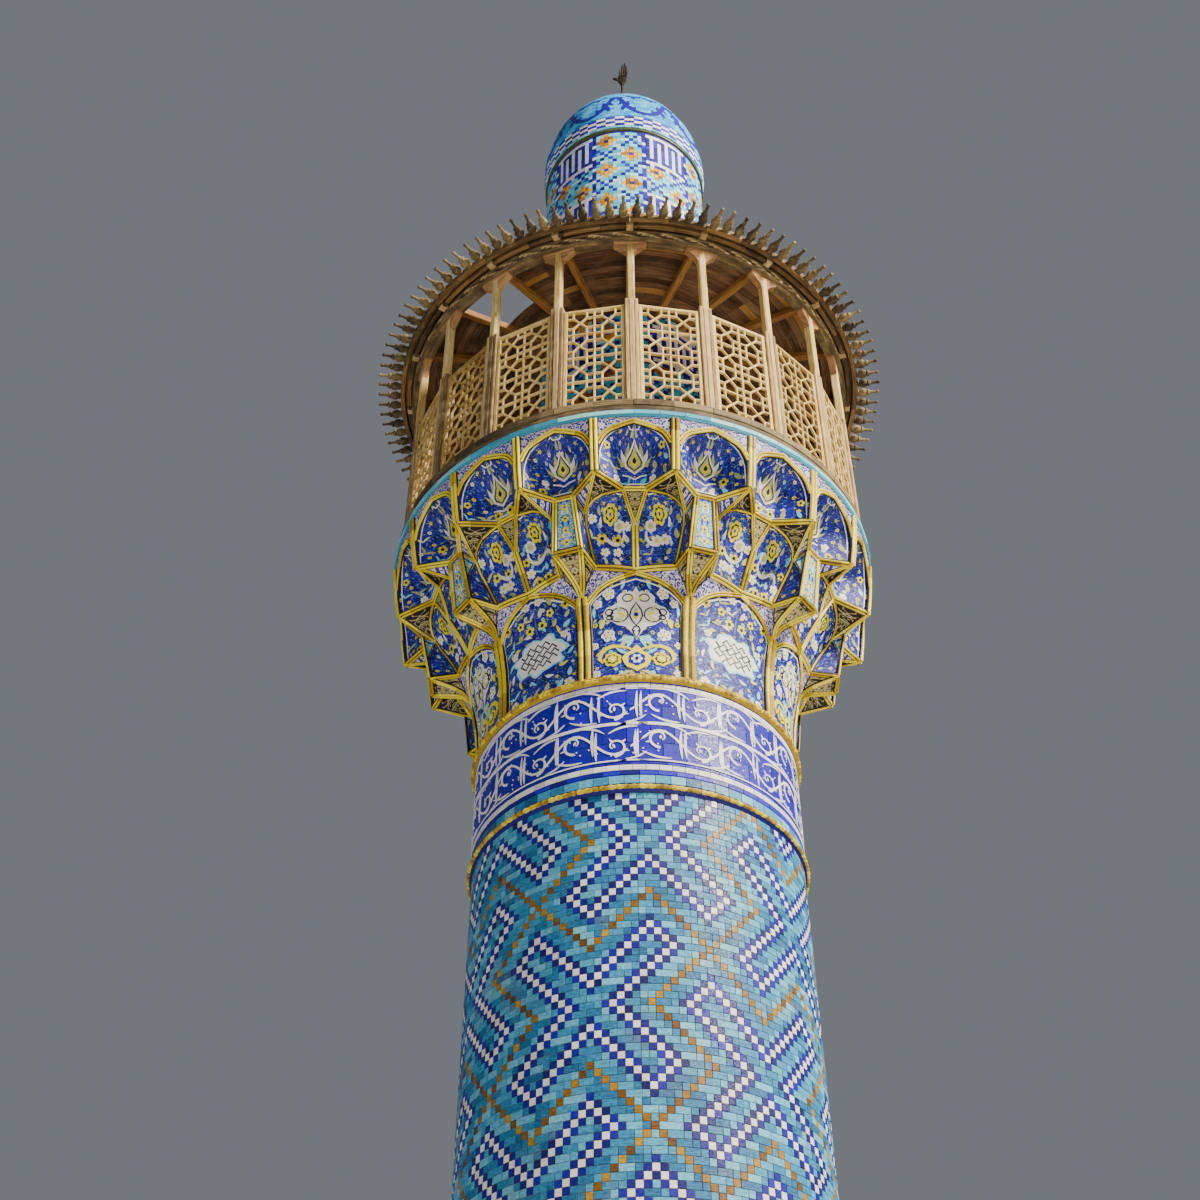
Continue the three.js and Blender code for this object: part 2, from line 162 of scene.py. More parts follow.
class Paint:
    """The nodes of one material. An input is given as a value, or as a socket to be linked from."""

    def __init__(self, name):
        self.material = bpy.data.materials.new(name)
        self.material.use_nodes = True
        self.tree = self.material.node_tree
        self.shader = self.tree.nodes["Principled BSDF"]

    def fill(self, node, values):
        for name, value in values.items():
            if isinstance(value, bpy.types.NodeSocket):
                self.tree.links.new(value, node.inputs[name])
            else:
                node.inputs[name].default_value = value

    def finish(self, values):
        self.fill(self.shader, values)

    def node(self, kind, values, **settings):
        node = self.tree.nodes.new("ShaderNode" + kind)
        for name, value in settings.items():
            setattr(node, name, value)
        self.fill(node, values)
        return node.outputs

    def place(self):
        return self.node("TexCoord", {})["Object"]

    def grain(self):
        return self.node("UVMap", {}, uv_map="grain")["UV"]

    def tone(self):
        return self.node("Attribute", {}, attribute_name="tone")["Fac"]

    def mapped(self, vector, **values):
        return self.node("Mapping", {"Vector": vector, **values})["Vector"]

    def noise(self, scale, detail, roughness, vector):
        values = {"Scale": scale, "Detail": detail, "Roughness": roughness, "Vector": vector}
        return self.node("TexNoise", values)["Fac"]

    def cells(self, vector, scale, randomness=1.0):
        values = {"Vector": vector, "Scale": scale, "Randomness": randomness}
        return self.node("TexVoronoi", values, voronoi_dimensions="2D")

    def math(self, operation, *values):
        return self.node("Math", dict(enumerate(values)), operation=operation)["Value"]

    def spread(self, value, low, high, to_low=0.0, to_high=1.0):
        values = {"Value": value, "From Min": low, "From Max": high, "To Min": to_low, "To Max": to_high}
        return self.node("MapRange", values)["Result"]

    def mix(self, factor, first, second):
        return self.node("Mix", {0: factor, 6: first, 7: second}, data_type="RGBA")[2]

    def ramp(self, factor, codes, at=EVEN):
        node = self.node("ValToRGB", {"Fac": factor})["Color"].node
        elements = node.color_ramp.elements
        while len(elements) < len(codes):
            elements.new(0.5)
        for element, position, code in zip(elements, at, codes):
            element.position = position
            element.color = colour(code)
        return node.outputs["Color"]

    def bump(self, height, distance, strength=0.6):
        values = {"Height": height, "Distance": distance, "Strength": strength}
        self.finish({"Normal": self.node("Bump", values)["Normal"]})

    def contour(self, vector, scale, width):
        """Winding lines of even width, where a smooth noise passes its middle value."""
        distance = self.math("ABSOLUTE", self.math("SUBTRACT", self.noise(scale, 0.4, 0.4, vector), 0.5))
        return self.spread(distance, width * 0.55, width, 1.0, 0.0)

    def fired(self, body, place, dust, dusty, worn, roughness, specular):
        """A glazed face: dust where a stain passes the dusty levels, uneven gloss and an orange-peel bump."""
        dirt = self.spread(self.noise(2.3, 6, 0.7, place), *dusty, 0.0, worn)
        rough = self.spread(self.noise(55, 3, 0.6, place), 0.3, 0.75, *roughness)
        self.finish({"Base Color": self.mix(dirt, body, colour(dust)), "Roughness": rough,
                     "Specular IOR Level": specular})
        self.bump(self.noise(90, 2, 0.5, place), 0.0016)
        return self.material


def glaze(name, codes, worn=0.35, at=EVEN, gloss=0.46, dust="a3926c"):
    """Glazed tile: a firing tone for each tile, streaks along the courses, and dust in patches."""
    paint = Paint(f"glaze_{name}")
    place = paint.place()
    streaks = paint.noise(30, 4, 0.6, paint.mapped(place, Scale=(1, 1, 3.6)))
    shade = paint.math("ADD", paint.tone(), paint.spread(streaks, 0.3, 0.7, -0.24, 0.24))
    body = paint.ramp(shade, codes.split(), at)
    paint.finish({"Coat Weight": 0.04, "Coat Roughness": 0.25})
    return paint.fired(body, place, dust, (0.52, 0.78), worn, (gloss * 0.7, gloss * 1.9), 0.36)


# Where the rim, petals, ring and heart of a painted flower end, and where each begins to fade
FLOWER_OUTER = (0.34, 0.28, 0.13, 0.07)
FLOWER_INNER = (0.31, 0.25, 0.1, 0.05)


def mosaic(name, ground, vine, leaves, flowers, scale, bold=0.03, full=1.0):
    """Painted tile: winding vines, leaves and five-petalled flowers over a ground, drawn in the grain map."""
    paint = Paint(name)
    flat = paint.grain()
    place = paint.place()
    dark, stem, blade, heart = (colour(code) for code in (ground[0], leaves[0], leaves[1], flowers[0]))
    body = paint.ramp(paint.spread(paint.noise(12, 4, 0.6, place), 0.35, 0.65), ground, (0, 1))
    body = paint.mix(paint.contour(flat, 1.2 * scale, bold), body, colour(vine))
    moved = paint.mapped(flat, Location=(3.1, 1.7, 0))
    body = paint.mix(paint.contour(moved, 2.1 * scale, 0.8 * bold), body, stem)
    blades = paint.cells(paint.mapped(flat, Rotation=(0, 0, 0.7), Scale=(1, 2.3, 1)), 1.4 * scale)
    tint = paint.mix(paint.spread(blades["Color"], 0.45, 0.55), stem, blade)
    body = paint.mix(paint.spread(blades["Distance"], 0.14 * full, 0.18 * full, 1.0, 0.0), body, tint)

    cells = paint.cells(flat, scale, 0.7)
    offset = paint.node("VectorMath", {0: flat, 1: cells["Position"]}, operation="SUBTRACT")["Vector"]
    parts = paint.node("SeparateXYZ", {"Vector": offset})
    angle = paint.math("MULTIPLY", paint.math("ARCTAN2", parts["Y"], parts["X"]), 5.0)
    reach = paint.spread(paint.math("COSINE", angle), -1, 1, 0.7, 1.0)
    size = paint.math("DIVIDE", cells["Distance"], reach)
    pairs = [flowers[number // 2] for number in range(6)]
    petal = paint.ramp(cells["Color"], pairs, (0, 0.44, 0.46, 0.58, 0.6, 1))
    for outer, inner, tone in zip(FLOWER_OUTER, FLOWER_INNER, (dark, petal, dark, heart)):
        body = paint.mix(paint.spread(size, inner * full, outer * full, 1.0, 0.0), body, tone)
    return paint.fired(body, place, "8d7f5e", (0.58, 0.8), 0.25, (0.42, 0.75), 0.34)


def timber(name, codes, bleach):
    """Weathered timber: streaks along the grain held in the grain map, checks and bleached patches."""
    paint = Paint(name)
    grain = paint.grain()
    fine = paint.noise(1.6, 8, 0.65, paint.mapped(grain, Scale=(2.2, 46, 1)))
    shift = paint.spread(paint.tone(), 0, 1, -0.32, 0.3)
    body = paint.ramp(paint.math("ADD", paint.spread(fine, 0.28, 0.72), shift), codes.split())
    patch = paint.spread(paint.noise(5, 5, 0.65, paint.place()), 0.5, 0.72, 0.0, 0.55)
    faded = paint.mix(patch, body, colour(bleach))
    crack = paint.spread(paint.noise(2.4, 2, 0.4, paint.mapped(grain, Scale=(1.1, 30, 1))), 0.33, 0.29)
    paint.finish({"Base Color": paint.mix(crack, faded, colour("2c2118")),
                  "Roughness": paint.spread(fine, 0.3, 0.7, 0.62, 0.9)})
    paint.bump(fine, 0.004, 0.8)
    return paint.material


def plain(name, codes, scale, rough, bump_depth=0.003, metallic=0.0):
    """Stone, mortar, plaster or metal: a mottled tone with a grainy bump."""
    paint = Paint(name)
    place = paint.place()
    mottle = paint.noise(scale, 7, 0.65, place)
    shift = paint.spread(paint.tone(), 0, 1, -0.2, 0.2)
    body = paint.ramp(paint.math("ADD", paint.spread(mottle, 0.3, 0.7), shift), codes.split())
    paint.finish({"Base Color": body, "Metallic": metallic,
                  "Roughness": paint.spread(mottle, 0.3, 0.7, rough - 0.12, rough + 0.1)})
    paint.bump(paint.noise(scale * 5, 4, 0.6, place), bump_depth)
    return paint.material


# Colours of each glaze from dark to light, then the share of dust, the places of the colours, gloss and dust
GLAZES = {
    "turquoise": ("104a7c 247cac 4ca4c8 80cae2", 0.35, (0, 0.35, 0.7, 1), 0.5),
    "aqua": ("2ca4d0 5accec 8ce4f8 c4f6ff", 0.08, (0, 0.4, 0.75, 1)),
    "dome": ("1480cc 2ca4ec 5cccfc", 0.04),
    "ring": ("2a90b4 5cc0d8 9ce4ea", 0.25),
    "cobalt": ("08026c 1406a8 2a0edc", 0.04),
    "navy": ("060250 0e0680 1c0cac", 0.06),
    "amber": ("4c2c06 82560a b08012 c8a020", 0.1, (0, 0.4, 0.8, 1)),
    "white": ("e6e8ee fafafc ffffff", 0.05),
    "cream": ("d8d6cc f2f0ea fdfcf6", 0.08),
    "ochre": ("804806 c4800a f4b010 ffd41c", 0.1, (0, 0.4, 0.8, 1)),
    "yellow": ("d0bc08 f4e400 fff640", 0.03),
    "gold": ("a88c08 e4c814 fff04c", 0.12, EVEN, 0.46, "8a7a38"),
    "gold_deep": ("6d5308 a88818 d4b02c", 0.25, EVEN, 0.46, "7a6a38"),
    "olive": ("26381c 3e5428 647640", 0.2),
    "ink": ("080612 120e22 221c38", 0.1),
    "groove": ("120c04 241a0a 3a2c14", 0.06),
    "leaf": ("8e9450 bcc07c e4e4b4", 0.1),
}
# Ground, vines, leaves, flowers, scale, and how bold the lines and how full the flowers are
FLOWERS = ("f0de20", "f8f4e6", "a9dceb")
MOSAICS = {
    "cobalt": (("080458", "1c0cac"), "6a94dc", ("5aa4dc", "c4bc60"), FLOWERS, 8, 0.009, 0.62),
    "pale": (("181070", "3424a8"), "ece8f6", ("d0ccf0", "e8e4c8"), ("e8e4f4", "d8d4f0", "f6f4fa"), 12, 0.042),
    "umber": (("080609", "1a150e"), "a89e70", ("b4a878", "746a44"), ("b4a86c", "847644", "c8be94"), 10,
              0.058),
    "sky": (("2c8cc4", "60bce8"), "1c0a9c", ("f0f4f8", "e0d040"), FLOWERS, 12),
}
# Name, colours from dark to light, and the bleached colour
TIMBERS = {
    "grey_wood": ("weathered_posts", "4a3a22 a2834e dec084", "e4cc94"),
    "pale_wood": ("pale_lattice", "80622c c4a258 f4dc92", "f0dca0"),
    "pink_wood": ("capital_wood", "5e3e20 9c7044 d4a870", "cca070"),
    "beam_wood": ("beam_wood", "1c140a 5c4a2c a89260", "92805a"),
    "dark_wood": ("roof_boards", "22160c 68482e ac845c", "90765a"),
    "brown_wood": ("eave_wood", "21150a 58401f 9c7844", "84704a"),
    "spike_wood": ("spike_wood", "1a120a 4c3c22 948052", "b0a06c"),
    "rafter_wood": ("rafter_wood", "4a2c10 96662c cc9850", "b08850"),
}
# Name, colours from dark to light, scale of the mottle, roughness, depth of the bump, and metal
PLAINS = {
    "mortar": ("lime_mortar", "6c5c44 8c7a5a b09e7c", 9, 0.9),
    "stone": ("worn_stone", "857558 a59373 c4b391", 6, 0.85),
    "bronze": ("dark_bronze", "221f1a 3f3729 655538", 14, 0.5, 0.001, 0.85),
}
looks = {name: glaze(name, *row) for name, row in GLAZES.items()}
looks.update({f"{name}_mosaic": mosaic(f"mosaic_{name}", *row) for name, row in MOSAICS.items()})
looks.update({name: timber(*row) for name, row in TIMBERS.items()})
looks.update({name: plain(*row) for name, row in PLAINS.items()})


# Faces gathered into one piece
QUAD = [(0, 1, 2, 3)]


def hull(size, rings, flip=False, loop=False, seam=True, caps=False):
    """Faces between neighbouring rings of points. A loop joins the last ring to the first, and a seam joins
    the last point of each ring to its first."""
    faces = []
    for ring in range(rings if loop else rings - 1):
        here, there = size * ring, size * ((ring + 1) % rings)
        for edge in range(size if seam else size - 1):
            after = (edge + 1) % size
            face = (here + edge, there + edge, there + after, here + after)
            faces.append((face[0], *face[:0:-1]) if flip else face)
    if caps:
        ends = [list(range(size)), list(range(size * (rings - 1), size * rings))]
        ends[0 if flip else 1].reverse()
        faces += [tuple(end) for end in ends]
    return faces


class Build:
    """Points and faces of one piece, each face with a tone from 0 to 1, a material number and a grain map."""

    def __init__(self):
        self.points = []
        self.faces = []
        self.tones = []
        self.kinds = []
        self.grain = []

    def add(self, points, faces, tone=0.5, kind=0, grain=None):
        start = len(self.points)
        self.points.extend(tuple(point) for point in points)
        for face in faces:
            self.faces.append(tuple(start + corner for corner in face))
            self.grain.extend(grain[corner] if grain else (0.0, 0.0) for corner in face)
        self.tones.extend([tone] * len(faces))
        self.kinds.extend([kind] * len(faces))

    def loft(self, rings, tone=0.5, kind=0, maps=None, **form):
        """A skin over rings of points, with maps as rings of grain, joined as hull() is told."""
        points = [point for ring in rings for point in ring]
        grain = maps and [spot for ring in maps for spot in ring]
        self.add(points, hull(len(rings[0]), len(rings), **form), tone, kind, grain)

    def merge(self, other, turn):
        """Another build's faces, turned about the tower's axis by a bearing."""
        start = len(self.points)
        rotation = Matrix.Rotation(radians(turn), 3, "Z")
        self.points.extend(tuple(rotation @ Vector(point)) for point in other.points)
        self.faces.extend(tuple(start + corner for corner in face) for face in other.faces)
        self.tones.extend(other.tones)
        self.kinds.extend(other.kinds)
        self.grain.extend(other.grain)

    def piece(self, name, materials, slot, *stands_for):
        """The finished piece, with its materials named in one string and the nodes that it replaces."""
        mesh = bpy.data.meshes.new(name)
        mesh.from_pydata(self.points, [], self.faces)
        mesh.attributes.new("tone", "FLOAT", "FACE").data.foreach_set("value", self.tones)
        layer = mesh.uv_layers.new(name="grain")
        layer.data.foreach_set("uv", [value for pair in self.grain for value in pair])
        mesh.polygons.foreach_set("material_index", self.kinds)
        for look in materials.split():
            mesh.materials.append(looks[look])
        mesh.polygons.foreach_set("use_smooth", [True] * len(mesh.polygons))
        mesh.set_sharp_from_angle(angle=radians(CREASE))
        mesh.validate()
        thing = add_object(name, mesh)
        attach(thing, "root")
        if stands_for:
            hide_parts(*stands_for)


CREASE = 28


# Glazed bricks and tiles: a raised face with bevelled edges down to a wider root
BRICK_FACES = [(0, 1, 2, 3), (4, 5, 1, 0), (5, 6, 2, 1), (6, 7, 3, 2), (7, 4, 0, 3)]
PROUD = 0.005
ROOT_DEPTH = 0.004
JITTER = 0.001


def around(left, right, low, high):
    return [(left, low), (right, low), (right, high), (left, high)]


def slab(build, place, face, root, lift, sink, tone, kind=0):
    """A tile with a face and a root, which place(across, up, lift) puts in space."""
    points = [place(*corner, lift) for corner in around(*face)]
    points += [place(*corner, -sink) for corner in around(*root)]
    build.add(points, BRICK_FACES, tone, kind)


def brick(build, wall, left, right, low, high, tone, kind=0, joint=0.0024, proud=PROUD, bevel=0.0022):
    """A glazed brick between two bearings and two heights, standing proud of wall(height)."""
    radius = wall((low + high) / 2)
    side = degrees((joint / 2) / radius)
    slope = degrees(bevel / radius)
    low += joint / 2
    high -= joint / 2
    slab(build, lambda bearing, height, lift: polar(wall(height) + lift, bearing, height),
         (left + side + slope, right - side - slope, low + bevel, high - bevel),
         (left + side, right - side, low, high), proud, ROOT_DEPTH, tone, kind)


def course(build, radius, low, high, count, chance, kind=0, offset=0.0, proud=PROUD, vary=1.0):
    """One ring of like tiles, whose tones vary about the middle one."""
    width = 360 / count
    for number in range(count):
        left = (number + offset) * width
        tone = 0.5 + vary * (chance.random() - 0.5)
        brick(build, lambda _: radius, left, left + width, low, high, tone, kind, proud=proud)


# Doorways on the back: half the width, spring and crown of the arch, and the border kept clear of bricks
DOOR_HEADROOM = 0.06
FOOT_DOOR = (0.38, 1.5, 2.05, 0.075)
DRUM_DOOR = (0.29, 15.1, 15.45, 0.07)


def beside_door(door, radius, left, right, low):
    """True where a brick would run into the doorway at the back."""
    half, _, crown, border = door
    middle = polar(radius, (left + right) / 2, low)
    reach = half + border + radius * radians(right - left) / 2
    return low < crown + DOOR_HEADROOM and middle.y > 0 and abs(middle.x) < reach


# Shaft figures: ochre lines outline leaning crosses, and a double-bordered fret fills each one
COLUMNS = 160
COURSE_HEIGHT = 0.061
LONG_SHARE = 0.18
PERIOD = 80
TOP_ROW = 11
ARM = 8
CROSSING = (8, -13)
CROSS_CENTRE = (24, -5)
LINKS = [[(0, 0), (0, -ARM), (-ARM, -ARM), (-ARM, -2 * ARM)],
         [(0, 0), (ARM, 0), (ARM, -ARM), (2 * ARM, -ARM)]]
FRET = [(4.5, -1.5), (9.5, -1.5), (9.5, 1.5), (1.5, 1.5), (1.5, 9.5), (-1.5, 9.5), (-1.5, 4.5)]


def shaft_figures():
    """Cell colours over one repeat: 1 cobalt, 2 white and 3 ochre."""
    figures = {}
    repeats = [(24 * m + 8 * n, -8 * m + 24 * n, m) for m in range(-6, 7) for n in range(-6, 7)]

    def draw(centre, corners, kind):
        """Colours the cells along a path whose corners are steps along the two diagonals from a centre."""
        for (along, across), (next_along, next_across) in zip(corners, corners[1:]):
            steps = round(max(abs(next_along - along), abs(next_across - across)))
            for step in range(steps + 1):
                one = along + (next_along - along) * step / steps
                two = across + (next_across - across) * step / steps
                figures[round(centre[0] + one + two) % PERIOD, round(centre[1] + one - two) % PERIOD] = kind

    for across, up, number in repeats:
        hand = 1 if number % 2 else -1
        for sign in (1, -1):
            strand = [(hand * sign * one, sign * two) for one, two in FRET]
            draw((CROSS_CENTRE[0] + across, CROSS_CENTRE[1] + up), strand, 2)
    for column, row in list(figures):
        for beside in ((1, 0), (-1, 0), (0, 1), (0, -1)):
            figures.setdefault(((column + beside[0]) % PERIOD, (row + beside[1]) % PERIOD), 1)
    for across, up, _ in repeats:
        for path in LINKS:
            draw((CROSSING[0] + across, CROSSING[1] + up), path, 3)
    return figures


def add_shaft():
    rows = round((SHAFT_TOP - PLINTH_TOP) / COURSE_HEIGHT)
    height = (SHAFT_TOP - PLINTH_TOP) / rows
    width = 360 / COLUMNS
    figures = shaft_figures()
    chance = random.Random(11)
    stretchers, headers = Build(), Build()
    for row in range(rows):
        low = PLINTH_TOP + row * height
        level = (row - rows + TOP_ROW) % PERIOD
        kinds = [figures.get(((column - 1) % PERIOD, level), 0) for column in range(COLUMNS)]
        column = 0
        while column < COLUMNS:
            kind = kinds[column]
            span = 1
            if kind == 0:
                longest = 2 - (column + row) % 2 + (chance.random() < LONG_SHARE)
                while span < longest and column + span < COLUMNS and kinds[column + span] == 0:
                    span += 1
            left = (column - 0.5) * width - 0.1
            right = left + span * width
            if not beside_door(FOOT_DOOR, wall_at(low), left, right, low):
                build = headers if kind else stretchers
                proud = PROUD + chance.uniform(-JITTER, JITTER)
                tone = 0.5 + 0.75 * (chance.random() - 0.5)
                brick(build, wall_at, left, right, low, low + height, tone, max(kind - 1, 0), proud=proud)
            column += span
    stretchers.piece("shaft_turquoise_bricks", "turquoise", "shaft_brick")
    headers.piece("shaft_figure_bricks", "navy cream amber", "shaft_brick")


# Smooth lines in space, and raised lines along them
def curve(stations, count):
    """Points along a smooth line through stations."""
    if len(stations) == 2:
        return [stations[0].lerp(stations[1], step / (count - 1)) for step in range(count)]
    ends = [2 * stations[0] - stations[1], *stations, 2 * stations[-1] - stations[-2]]
    spans = len(stations) - 1
    line = []
    for step in range(count):
        along = spans * step / (count - 1)
        span = min(int(along), spans - 1)
        t = along - span
        a, b, c, d = ends[span:span + 4]
        line.append(0.5 * (2 * b + (c - a) * t + (2 * a - 5 * b + 4 * c - d) * t * t
                           + (3 * b - 3 * c + d - a) * t * t * t))
    return line


def through(points, count):
    """Points along a smooth line through (radius, bearing, height) stations."""
    return curve([polar(*point) for point in points], count)


def beside(line, number, closed):
    """The points before and after one on a line; at an open end it stands for the missing one itself."""
    before = line[number - 1] if number or closed else line[0]
    after = line[(number + 1) % len(line)] if number < len(line) - 1 or closed else line[-1]
    return before, after


def both_sides(half, size=1.0):
    """The whole outline of a shape from its right half, listed from the foot to the tip."""
    whole = half + [(-x, y) for x, y in reversed(half[1:-1])]
    return [(size * x, size * y) for x, y in whole]


def circle(sides, start=0.0):
    """Directions all round, as angles."""
    return [start + 2 * pi * side / sides for side in range(sides)]


def tapered(first, last, steps):
    return [first + (last - first) * step / steps for step in range(steps + 1)]


def spun(across, up, angle, x, y=0.0):
    """The place at (x, y) from a spot, on axes turned by an angle."""
    return across + x * cos(angle) - y * sin(angle), up + x * sin(angle) + y * cos(angle)


# The outline of a petal, as shares of half its angle and of its reach
PETAL = ((-1, 0.3), (-0.9, 0.78), (-0.45, 0.98), (0, 1), (0.45, 0.98), (0.9, 0.78), (1, 0.3))
SCROLL_WIDTH = 0.024


class Pen:
    """Draws raised shapes into a build, on a surface that place(across, up, lift) puts in space."""

    def __init__(self, build, place):
        self.build = build
        self.place = place

    def stroke(self, path, width, thick, tone, kind, closed=False):
        """A raised line of even or tapering width along a flat path."""
        widths = width if isinstance(width, list) else [width] * len(path)
        rings = []
        for number, (across, up) in enumerate(path):
            before, after = beside(path, number, closed)
            run = (after[0] - before[0], after[1] - before[1])
            reach = widths[number] / 2 / (hypot(*run) or 1)
            side = (-run[1] * reach, run[0] * reach)
            rings.append([self.place(across + sign * side[0], up + sign * side[1], lift)
                          for sign, lift in ((1, -0.002), (1, thick), (-1, thick), (-1, -0.002))])
        self.build.loft(rings, tone, kind, flip=True, loop=closed, seam=False, caps=not closed)

    def blade(self, outline, thick, tone, kind):
        """A raised flat shape with square edges."""
        rings = [[self.place(across, up, lift) for across, up in outline] for lift in (thick, -0.002)]
        self.build.add(rings[0] + rings[1], [range(len(outline)), *hull(len(outline), 2)], tone, kind)

    def patch(self, centre, outline, thick, tone, kind):
        """A raised shape filled from its centre in two rings, so that it follows a curved surface."""
        count = len(outline)
        middle = [((centre[0] + x) / 2, (centre[1] + y) / 2) for x, y in outline]
        points = [self.place(across, up, thick) for across, up in (*middle, *outline)]
        points += [self.place(across, up, -0.003) for across, up in outline]
        fan = [(3 * count, side, (side + 1) % count) for side in range(count)]
        self.build.add([*points, self.place(*centre, thick)], fan + hull(count, 3), tone, kind)

    def leaf(self, across, up, angle, length, width, thick, tone, kind, curl=0.0):
        """A pointed leaf from its foot, bending by curl."""
        shape = []
        for side in (1, -1):
            for step in range(5):
                share = step / 5 if side > 0 else 1 - step / 5
                x = length * share
                off = side * width / 2 * sin(pi * share) ** 0.8 if 0 < share < 1 else 0
                y = off + curl * share * share * length
                shape.append(spun(across, up, angle, x, y))
        self.blade(shape, thick, tone, kind)

    def sprig(self, hand, size, thick, tone, leaves):
        """Leaves given by foot, lean from upright, length, width, material and curl; hand -1 mirrors them."""
        for across, up, lean, length, width, kind, curl in leaves:
            self.leaf(hand * across * size, up * size, pi / 2 - hand * lean, length * size, width * size,
                      thick, tone, kind, hand * curl)

    def disc(self, across, up, radius, thick, tone, kind, sides=8):
        self.blade([spun(across, up, angle, radius) for angle in circle(sides)], thick, tone, kind)

    def rosette(self, across, up, radius, petals, thick, tone, petal_kind, eye_kind, turn=0.0):
        """A flower of round petals with an eye."""
        half = pi / petals * 0.92
        for angle in circle(petals, turn):
            outline = [spun(across, up, angle + share * half, reach * radius) for share, reach in PETAL]
            self.blade(outline, thick, tone, petal_kind)
        self.disc(across, up, 0.33 * radius, 1.5 * thick, tone, eye_kind)

    def cloud(self, across, up, width, height, lobes, depth, thick, tone, kind):
        """A lobed shape."""
        outline = []
        for angle in circle(lobes * 5):
            swell = 1 - depth + 2 * depth * abs(sin(lobes * angle / 2))
            outline.append((across + width * swell * cos(angle), up + height * swell * sin(angle)))
        self.patch((across, up), outline, thick, tone, kind)

    def daisy(self, across, up, radius, tone):
        """A white flower with a yellow heart and five dark dots."""
        self.cloud(across, up, radius, radius, 5, 0.14, 0.005, tone, WHITE)
        self.disc(across, up, 0.3 * radius, 0.008, tone, YELLOW, 6)
        for angle in circle(5, 0.3):
            self.disc(*spun(across, up, angle, 0.6 * radius), 0.13 * radius, 0.008, tone, INK, 5)

    def bloom(self, across, up, radius, tone, kind, eye):
        """A small five-lobed flower with an eye."""
        outline = []
        for petal in range(5):
            for turn, reach in ((-36, 0.6), (-19, 1.0), (19, 1.0)):
                outline.append(spun(across, up, radians(72 * petal + turn), reach * radius))
        self.blade(outline, 0.004, tone, kind)
        self.disc(across, up, 0.38 * radius, 0.007, tone, eye, 5)

    def scroll(self, across, up, radius, hand, tone, chance):
        """A tapering white scroll with leaves on its outside and a bud in its eye."""
        steps = 16
        sweep = hand * 1.75 * pi
        path = []
        for step, reach in enumerate(tapered(radius, 0.25 * radius, steps)):
            path.append(spun(across, up, sweep * step / steps - pi / 2, reach))
        self.stroke(path, tapered(SCROLL_WIDTH, 0.4 * SCROLL_WIDTH, steps), 0.003, tone, 1)
        for step in (3, 6, 10):
            lean = sweep * step / steps - pi / 2 + hand * 0.9
            self.leaf(*path[step], lean, 0.4 * radius, 0.17 * radius, 0.003, tone, 1, -hand * 0.5)
        lean = pi / 2 + hand * chance.uniform(0, 0.6)
        self.leaf(across, up - 0.1 * radius, lean, 0.4 * radius, 0.2 * radius, 0.003, tone, 1)

    def sickle(self, across, up, length, lean, bow, width, tone):
        """A long thin curved leaf, pointed at both ends."""
        path, widths = [], []
        for share in tapered(0, 1, 8):
            path.append(spun(across, up, lean, length * (share - 0.5), bow * sin(pi * share)))
            widths.append(width * (0.15 + 0.85 * sin(pi * share) ** 0.7))
        self.stroke(path, widths, 0.003, tone, 1)


# Skins ruled between lines in space
MARGIN = 0.02


def inside(share):
    """A share kept a little off the edges of a skin, where its axes are sure."""
    return min(max(share, MARGIN), 1 - MARGIN)


